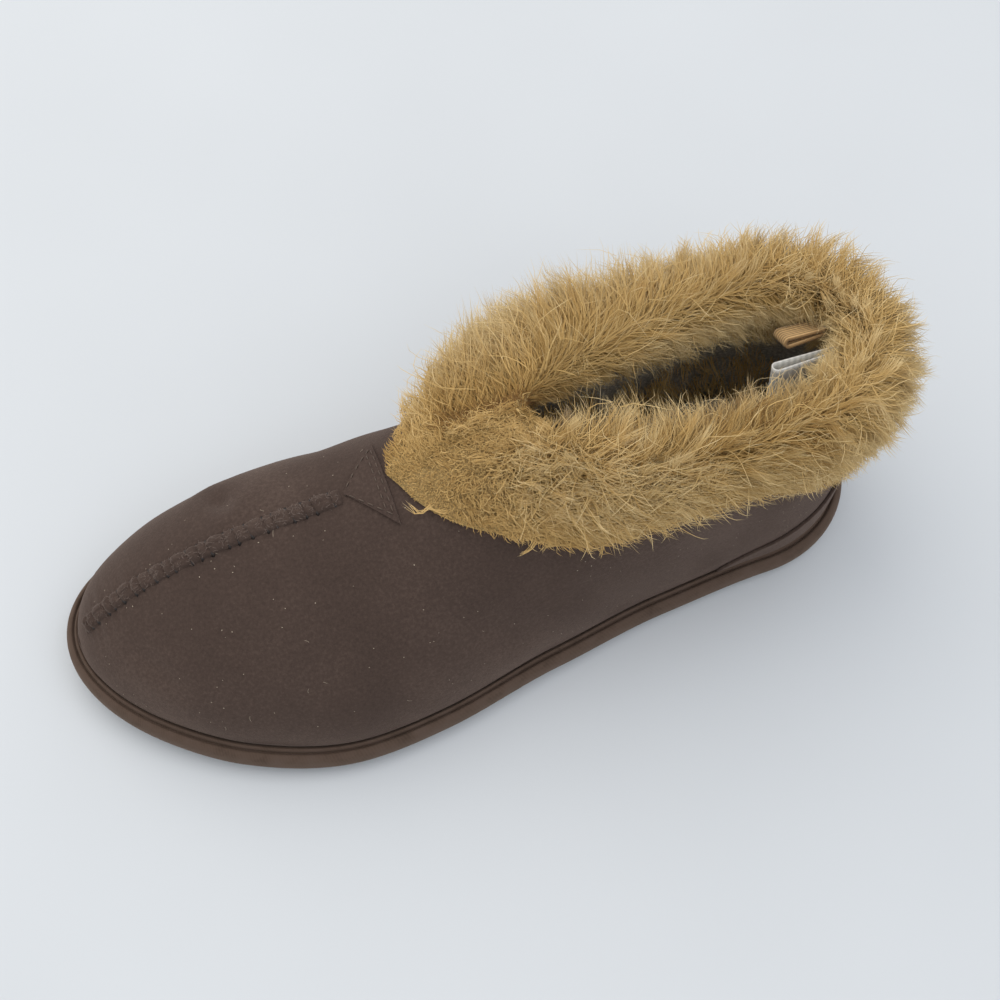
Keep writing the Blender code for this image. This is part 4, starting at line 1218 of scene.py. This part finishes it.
def grow(luck, lines, outs, roots, tones, sizes, pull):
    """Strands of locks along their middle lines. roots has the strands of each lock, (locks, hairs, 3)."""
    locks, hairs, _ = roots.shape
    t = np.linspace(0, 1, lines.shape[1])
    centres = lines[:, :1]
    aside = (roots - centres) / sizes.lock_spacing
    edge = np.minimum(np.linalg.norm(aside, axis=-1), 1.4)
    long = luck.uniform(*STRAND_LENGTHS, (locks, hairs)) * (1.02 - LOCK_EDGE * edge)
    paths = centres[:, None] + (lines - centres)[:, None] * long[..., None, None]
    paths = paths + (roots - centres)[:, :, None] * (1 - pull * t**0.8)[..., None]
    reach = np.linalg.norm(lines[:, -1] - lines[:, 0], axis=-1)[:, None, None, None]
    stray = luck.normal(0, STRAY, (locks, hairs, 1, 3)).clip(-2 * STRAY, 2 * STRAY)
    curl = luck.normal(0, STRAND_CURL, (locks, hairs, 1, 3))
    own_way = stray * (t**1.5)[:, None] + curl * np.sin(np.pi * t * 1.5)[:, None]
    paths = (paths + own_way * reach).reshape(-1, len(t), 3)
    normals = unit(outs[:, None] + TUFT_ROUND * aside + np.array((0, 0, SKY_LEAN))).reshape(-1, 3)
    # Strands at the edge of a lock are a little darker: painted shade between the locks.
    tone = np.repeat(tones, hairs) + luck.normal(0, 0.1, len(paths)) - 0.06 * edge.ravel()
    return dressed(luck, paths, normals, tone, sizes.hair_width)


def from_parting(roots):
    """Way from the nearest place of the parting to each root, and how deep the root is in it (0 to 1)."""
    steps = np.linspace(0, len(PARTING) - 1, 17)
    even, across, width = (np.interp(steps, np.arange(len(PARTING)), part) for part in PARTING.T)
    away = roots[:, None] - cloth_point(round_place(even), across, ROOT_LIFT)
    nearest = np.linalg.norm(away, axis=-1).argmin(1)
    away = away[np.arange(len(roots)), nearest]
    return away, np.exp(-((away**2).sum(-1) / (width[nearest] * MM) ** 2))


def pile_at(luck, even, across, sizes):
    """The pile at places of the cuff: roots, way out of the cloth, flow, lift and length of the hair."""
    middle, outs, inward, back = fold(round_place(even), across)
    roots = middle + outs * (WALL / 2 + ROOT_LIFT)
    flows = back * combed("back", even, across)[:, None] - inward * combed("sweep", even, across)[:, None]
    swirl = SWIRL * (0.7 * ripple(roots, SWIRL_LENGTHS[0], 11) + 0.5 * ripple(roots, SWIRL_LENGTHS[1], 12))
    lengths = combed("length", even, across) * MM * sizes.hair_scale
    swirl = (swirl + luck.normal(0, 0.2, len(even))) * np.minimum(lengths / SWIRL_FULL, 1)
    flows = flows * np.cos(swirl)[:, None] + np.cross(outs, flows) * np.sin(swirl)[:, None]
    away, deep = from_parting(roots)
    pull = np.exp(-((away**2).sum(-1) / PARTING_REACH**2))[:, None]
    apart = unit(away - outs * (away * outs).sum(-1, keepdims=True))
    flows = flows * (1 - pull) + apart * pull
    lengths = lengths * (1 - 0.85 * deep)
    return roots, outs, flows, combed("lift", even, across), lengths


def tone_at(luck, roots):
    """Tone of the hair at its roots: paler and darker in swells, with painted shade in the parting and a
    painted shadow on a patch of the outer side.
    """
    _, deep = from_parting(roots)
    # Painted shadow of the curls on a patch of the outer side of the collar
    patch_shadow = np.exp(-((roots - np.array(SHADOWED_PATCH) * MM) ** 2).sum(-1) / SHADOWED_PATCH_REACH**2)
    swell = TONE_SWELL * ripple(roots, TONE_LENGTH, 21)
    tones = FUR_TONE + swell + luck.normal(0, TONE_CHANCE, len(roots))
    return tones - PARTING_SHADE * deep - SHADOWED_PATCH_SHADE * patch_shadow


def lock_coat(luck, stretch, sizes):
    """Locks of one stretch of the cuff."""
    even, across = lock_roots(luck, stretch, sizes.lock_spacing)
    centres, outs, flows, lifts, lengths = pile_at(luck, even, across, sizes)
    lengths = lengths * luck.uniform(*LOCK_LENGTHS, len(even))
    lines = lock_paths(luck, centres, outs, flows, lifts, lengths, LOCK_RINGS, LOCK_WAVE)
    spot = (len(even), sizes.hairs)
    hair_even = even[:, None] + luck.normal(0, HAIR_SPREAD, spot) * sizes.lock_spacing / HEEL_RUN
    hair_across = across[:, None] + luck.normal(0, HAIR_SPREAD, spot) * sizes.lock_spacing / BAND_RUN
    hair_across = np.clip(hair_across, max(stretch[2] - 0.05, -0.995), min(stretch[3] + 0.05, 0.995))
    roots = cloth_point(round_place(hair_even).ravel(), hair_across.ravel(), ROOT_LIFT).reshape(*spot, 3)
    pull = luck.uniform(*LOCK_PULL, len(even)) * np.minimum(lengths / SWIRL_FULL, 1)
    return grow(luck, lines, outs, roots, tone_at(luck, centres), sizes, pull[:, None, None])


def down_coat(luck, stretch, sizes):
    """Short soft hair between the locks of one stretch of the cuff."""
    even, across = lock_roots(luck, stretch, sizes.down_spacing)
    roots, outs, flows, lifts, lengths = pile_at(luck, even, across, sizes)
    flows = flows + np.cross(outs, luck.normal(0, 0.45, roots.shape))
    lengths = np.maximum(lengths * luck.uniform(*DOWN_LENGTHS, len(even)), DOWN_LEAST)
    paths = lock_paths(luck, roots, outs, flows, lifts + 0.25, lengths, DOWN_RINGS, LOCK_WAVE)
    normals = unit(outs + np.array((0, 0, SKY_LEAN)))
    # The down is a little darker than the locks over it: painted shade under the locks.
    tones = tone_at(luck, roots) + luck.normal(-0.03, 0.08, len(even))
    return dressed(luck, paths, normals, tones, sizes.hair_width * 1.5)


def curl_coat(luck, sizes):
    """Long stray hairs that curl on top of the locks, all round the cuff."""
    even, across = luck.uniform(0, 2, sizes.curls), luck.uniform(-0.85, 0.8, sizes.curls)
    roots, outs, flows, lifts, lengths = pile_at(luck, even, across, sizes)
    flows = flows + np.cross(outs, luck.normal(0, 0.5, roots.shape))
    lengths = lengths * luck.uniform(*CURL_LENGTHS, len(even))
    paths = lock_paths(luck, roots, outs, flows, lifts + 0.2, lengths, CURL_RINGS, CURL_WAVE)
    normals = unit(outs + np.array((0, 0, 1.5 * SKY_LEAN)))
    return dressed(luck, paths, normals, luck.uniform(*CURL_TONES, len(even)), sizes.hair_width * 1.1)


def wisp_coat(luck, sizes):
    """Loose wisps that hang over the suede along the cuff's lower edge."""
    names, *rows = WISPS
    count = len(rows)
    wisps = dict(zip(names, np.array(rows).T))
    middle, outs, inward, back = fold(round_place(wisps["around"]), wisps["across"])
    centres = middle + outs * (WALL / 2 + ROOT_LIFT)
    flows = back * wisps["back"][:, None] - inward * wisps["sweep"][:, None]
    lengths = wisps["length"] * MM
    lines = lock_paths(luck, centres, outs, flows, wisps["lift"], lengths, LOCK_RINGS, LOCK_WAVE)
    roots = centres[:, None] + np.cross(outs[:, None], luck.normal(0, 0.6 * MM, (count, WISP_HAIRS, 3)))
    pull = luck.uniform(0.75, 0.95, (count, 1, 1))
    return grow(luck, lines, outs, roots, np.full(count, PALE_TONE), sizes, pull)


def plush_coat(luck, centres, outs, flows, span, sizes):
    """Shorter tufts at places of the lining, with lengths in a span of millimetres."""
    locks = len(centres)
    lengths = luck.uniform(*span, locks) * MM
    lines = lock_paths(luck, centres, outs, flows, np.full(locks, 0.8), lengths, LOCK_RINGS, LOCK_WAVE)
    spread = luck.normal(0, 2.2 * MM, (locks, PLUSH_HAIRS, 3))
    roots = centres[:, None] + np.cross(outs[:, None], spread)
    pull = luck.uniform(0.2, 0.7, (locks, 1, 1))
    return grow(luck, lines, outs, roots, luck.normal(PALE_TONE, 0.1, locks), sizes, pull)


def cuff_fur(colours):
    tints = colours.fur_root_shade, colours.fur_body, colours.fur_tip
    return kept("acrylic faux fur", acrylic_pile, "acrylic faux fur", *tints)


class SLIPPER_OT_fur(bpy.types.Operator):
    """Long pile of the cuff: locks combed as they lie, down under them, stray curls on top"""

    bl_idname = "slipper.fur"
    bl_label = "Fur"

    def execute(self, context):
        sizes = context.scene.slipper_sizes
        fur = cuff_fur(context.scene.slipper_colours)
        for seed, (name, *stretch) in enumerate(FUR_PIECES):
            luck = np.random.default_rng(100 + seed)
            settled(name, strand_mesh(name, *lock_coat(luck, stretch, sizes)), [fur], "fur")
            down = name + "_down"
            settled(down, strand_mesh(down, *down_coat(luck, stretch, sizes)), [fur], "fur")
        luck = np.random.default_rng(130)
        settled("fur_curls", strand_mesh("fur_curls", *curl_coat(luck, sizes)), [fur], "fur")
        settled("fur_wisps", strand_mesh("fur_wisps", *wisp_coat(luck, sizes)), [fur], "fur")
        return {"FINISHED"}


class SLIPPER_OT_lining(bpy.types.Operator):
    """Shorter pile on the inner wall below the cuff and on the footbed"""

    bl_idname = "slipper.lining"
    bl_label = "Lining"

    def execute(self, context):
        colours, sizes = context.scene.slipper_colours, context.scene.slipper_sizes
        luck = np.random.default_rng(40)
        turn = turn_of(luck.uniform(0.005, 0.62, WALL_LOCKS))
        side = np.where(luck.random(WALL_LOCKS) < 0.5, LATERAL, MEDIAL)
        up = luck.uniform(0.06, 0.5, WALL_LOCKS) * collar_up(turn, side)
        centres = skin(turn, side, up, -WALL - 0.2 * MM)
        flows = unit(np.array((0.0, 0.0, -1.0)) + luck.normal(0, 0.5, (WALL_LOCKS, 3)))
        strands = plush_coat(luck, centres, -last_normal(turn, side, up), flows, (7, 11), sizes)
        settled("fur_wall", strand_mesh("fur_wall", *strands), [cuff_fur(colours)], "fur")

        share, lean = luck.uniform(0.03, 0.72, FOOTBED_LOCKS), luck.uniform(-0.93, 0.93, FOOTBED_LOCKS)
        inset, height = INSOLE_PROFILE[-1]
        x, y = sole_edge(share, lean, inset * MM)
        centres = joined(x, y, height * MM + spring(share)) + SHIFT
        outs = np.tile((0.0, 0.0, 1.0), (FOOTBED_LOCKS, 1))
        flows = unit(luck.normal(0, 1, (FOOTBED_LOCKS, 3)) * (1, 1, 0)) * 0.8
        strands = plush_coat(luck, centres, outs, flows, (6, 9), sizes)
        undyed = kept("undyed plush pile", acrylic_pile, "undyed plush pile", *[colours.footbed] * 3)
        settled("fur_footbed", strand_mesh("fur_footbed", *strands), [undyed], "plush")
        return {"FINISHED"}


def tape_loop(name, width, opening, tape, roll, surface, slot):
    """Tape folded back on itself where the solid of that name stands, ends sewn into the pile."""
    low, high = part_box(name)
    reach = high.x - low.x - tape / 2
    base = Vector((low.x, (low.y + high.y) / 2, (low.z + high.z) / 2))
    bm = sheet_mesh()
    half = opening / 2

    def place(along, across):
        angle = np.pi / 2 * (along - 0.5) / TAPE_NOSE
        nose = np.clip(np.abs(angle) / (np.pi / 2), 0, 1)
        straight = np.clip((np.abs(along - 0.5) - TAPE_NOSE) / (0.5 - TAPE_NOSE), 0, 1)
        bend = np.clip(angle, -np.pi / 2, np.pi / 2)
        x = (reach - half) * (1 - straight) + half * np.cos(bend)
        z = half * np.sin(bend) * (1 - 0.45 * straight)
        sag = 0.06 * half * np.sin(np.pi * 3 * across) * nose
        return joined(x, (across - 0.5) * width, z + sag)

    lay_sheet(bm, 48, 10, place)
    turned = Matrix.Translation(base) @ Matrix.Rotation(math.radians(roll), 4, "X")
    bmesh.ops.transform(bm, verts=bm.verts, matrix=turned)
    made = finished(name + "_tape", bm, [surface], base + Vector((reach / 2, 0, 0)), slot, name)
    thicken(made, tape, 0)
    return made


class SLIPPER_OT_tapes(bpy.types.Operator):
    """Woven pull loop and bare label inside the heel"""

    bl_idname = "slipper.tapes"
    bl_label = "Loop and label"

    def execute(self, context):
        colours = context.scene.slipper_colours
        tape_loop("heel_loop", *LOOP_TAPE, striped_tape(colours), "loop_tape")
        tape_loop("side_label", *LABEL_TAPE, woven_satin(colours), "label")
        return {"FINISHED"}


class SLIPPER_OT_lint(bpy.types.Operator):
    """Fibres and specks caught in the suede's nap"""

    bl_idname = "slipper.lint"
    bl_label = "Lint"

    def execute(self, context):
        colours, sizes = context.scene.slipper_colours, context.scene.slipper_sizes
        luck = np.random.default_rng(5)
        count = sizes.lint
        share = 0.97 - 0.92 * luck.random(count) ** 1.3
        turn, side = turn_of(share), np.where(luck.random(count) < 0.6, LATERAL, MEDIAL)
        top = np.where(share < CUFF_FRONT, column(CUFF_EDGE, "up", share) - 0.03, 0.97)
        seam = (luck.random(count) < 0.3) & (share > SEAM_START)
        up = np.where(seam, 1 - 0.16 * luck.random(count), luck.uniform(0.02, 1, count) * top)
        out = last_normal(turn, side, up)
        centre = suede_point(turn, side, up, 0.12 * MM)
        fibre = luck.random(count) < np.where(seam, 0.3, 0.06)
        spans = np.where(fibre, luck.uniform(1.0, 2.8, count), luck.uniform(0.2, 0.5, count)) * MM
        widths = np.where(fibre, 0.1, luck.uniform(0.18, 0.36, count)) * MM
        mesh = fibre_mesh("lint", luck, centre, out, spans, widths)
        settled("lint", mesh, [spun_thread("lint fibre", colours.lint)], "suede")
        return {"FINISHED"}


def area_light(name, place, aim, power, colour):
    """Soft round light."""
    lamp = bpy.data.lights.new(name, "AREA")
    lamp.shape = "DISK"
    lamp.size = LIGHT_SIZE
    lamp.energy = power
    lamp.color = colour
    made = bpy.data.objects.new(name, lamp)
    made.location = place
    made.rotation_euler = (Vector(aim) - Vector(place)).to_track_quat("-Z", "Y").to_euler()
    bpy.context.scene.collection.objects.link(made)


class SLIPPER_OT_stage(bpy.types.Operator):
    """Plain pale floor, soft studio light and the camera"""

    bl_idname = "slipper.stage"
    bl_label = "Stage"

    def execute(self, context):
        scene = context.scene
        bm = bmesh.new()
        bmesh.ops.create_grid(bm, x_segments=8, y_segments=8, size=FLOOR_HALF)
        mesh = bpy.data.meshes.new("floor")
        bm.to_mesh(mesh)
        bm.free()
        mesh.materials.append(matt_paper(scene.slipper_colours))
        floor = bpy.data.objects.new("floor", mesh)
        scene.collection.objects.link(floor)

        world = bpy.data.worlds.new("studio")
        world.use_nodes = True
        sky = world.node_tree.nodes["Background"]
        sky.inputs["Color"].default_value = (*linear("#e9eef4"), 1)
        sky.inputs["Strength"].default_value = 0.80
        scene.world = world
        area_light("window", (0.55, -0.75, 1.25), (0.0, 0.0, 0.03), 11.0, linear("#fffaf2"))
        area_light("ceiling", (-0.25, 0.35, 1.6), (0.0, 0.0, 0.0), 9.0, linear("#f4f7ff"))
        scene.view_settings.view_transform = "Standard"

        lens = bpy.data.cameras.new("camera")
        lens.lens = CAMERA_LENS
        lens.sensor_width = 36.0
        place, aim = Vector(CAMERA_PLACE) * MM, Vector(CAMERA_AIM) * MM
        camera = bpy.data.objects.new("camera", lens)
        roll = Matrix.Rotation(math.radians(CAMERA_ROLL), 3, "Z")
        turn = (aim - place).to_track_quat("-Z", "Y").to_matrix() @ roll
        camera.matrix_world = Matrix.Translation(place) @ turn.to_4x4()
        scene.collection.objects.link(camera)
        scene.camera = camera
        return {"FINISHED"}


PIECE_OPERATORS = (
    SLIPPER_OT_stage,
    SLIPPER_OT_sole,
    SLIPPER_OT_upper,
    SLIPPER_OT_seams,
    SLIPPER_OT_cuff,
    SLIPPER_OT_fur,
    SLIPPER_OT_lining,
    SLIPPER_OT_tapes,
    SLIPPER_OT_lint,
)


class SLIPPER_PT_pieces(bpy.types.Panel):
    """Lists the slipper's pieces in the order they are made"""

    bl_idname = "SLIPPER_PT_pieces"
    bl_label = "House slipper"
    bl_space_type = "VIEW_3D"
    bl_region_type = "UI"
    bl_category = "Slipper"

    def draw(self, context):
        for operator in PIECE_OPERATORS:
            self.layout.operator(operator.bl_idname)
        for group in (context.scene.slipper_sizes, context.scene.slipper_colours):
            for name in group.__annotations__:
                self.layout.prop(group, name)


CLASSES = (SlipperSizes, SlipperColours, *PIECE_OPERATORS, SLIPPER_PT_pieces)


def register():
    for made in CLASSES:
        bpy.utils.register_class(made)
    bpy.types.Scene.slipper_sizes = PointerProperty(type=SlipperSizes)
    bpy.types.Scene.slipper_colours = PointerProperty(type=SlipperColours)


def unregister():
    del bpy.types.Scene.slipper_colours
    del bpy.types.Scene.slipper_sizes
    for made in reversed(CLASSES):
        bpy.utils.unregister_class(made)


def main():
    register()
    for operator in PIECE_OPERATORS:
        group, name = operator.bl_idname.split(".")
        getattr(getattr(bpy.ops, group), name)()


if __name__ == "__main__":
    main()
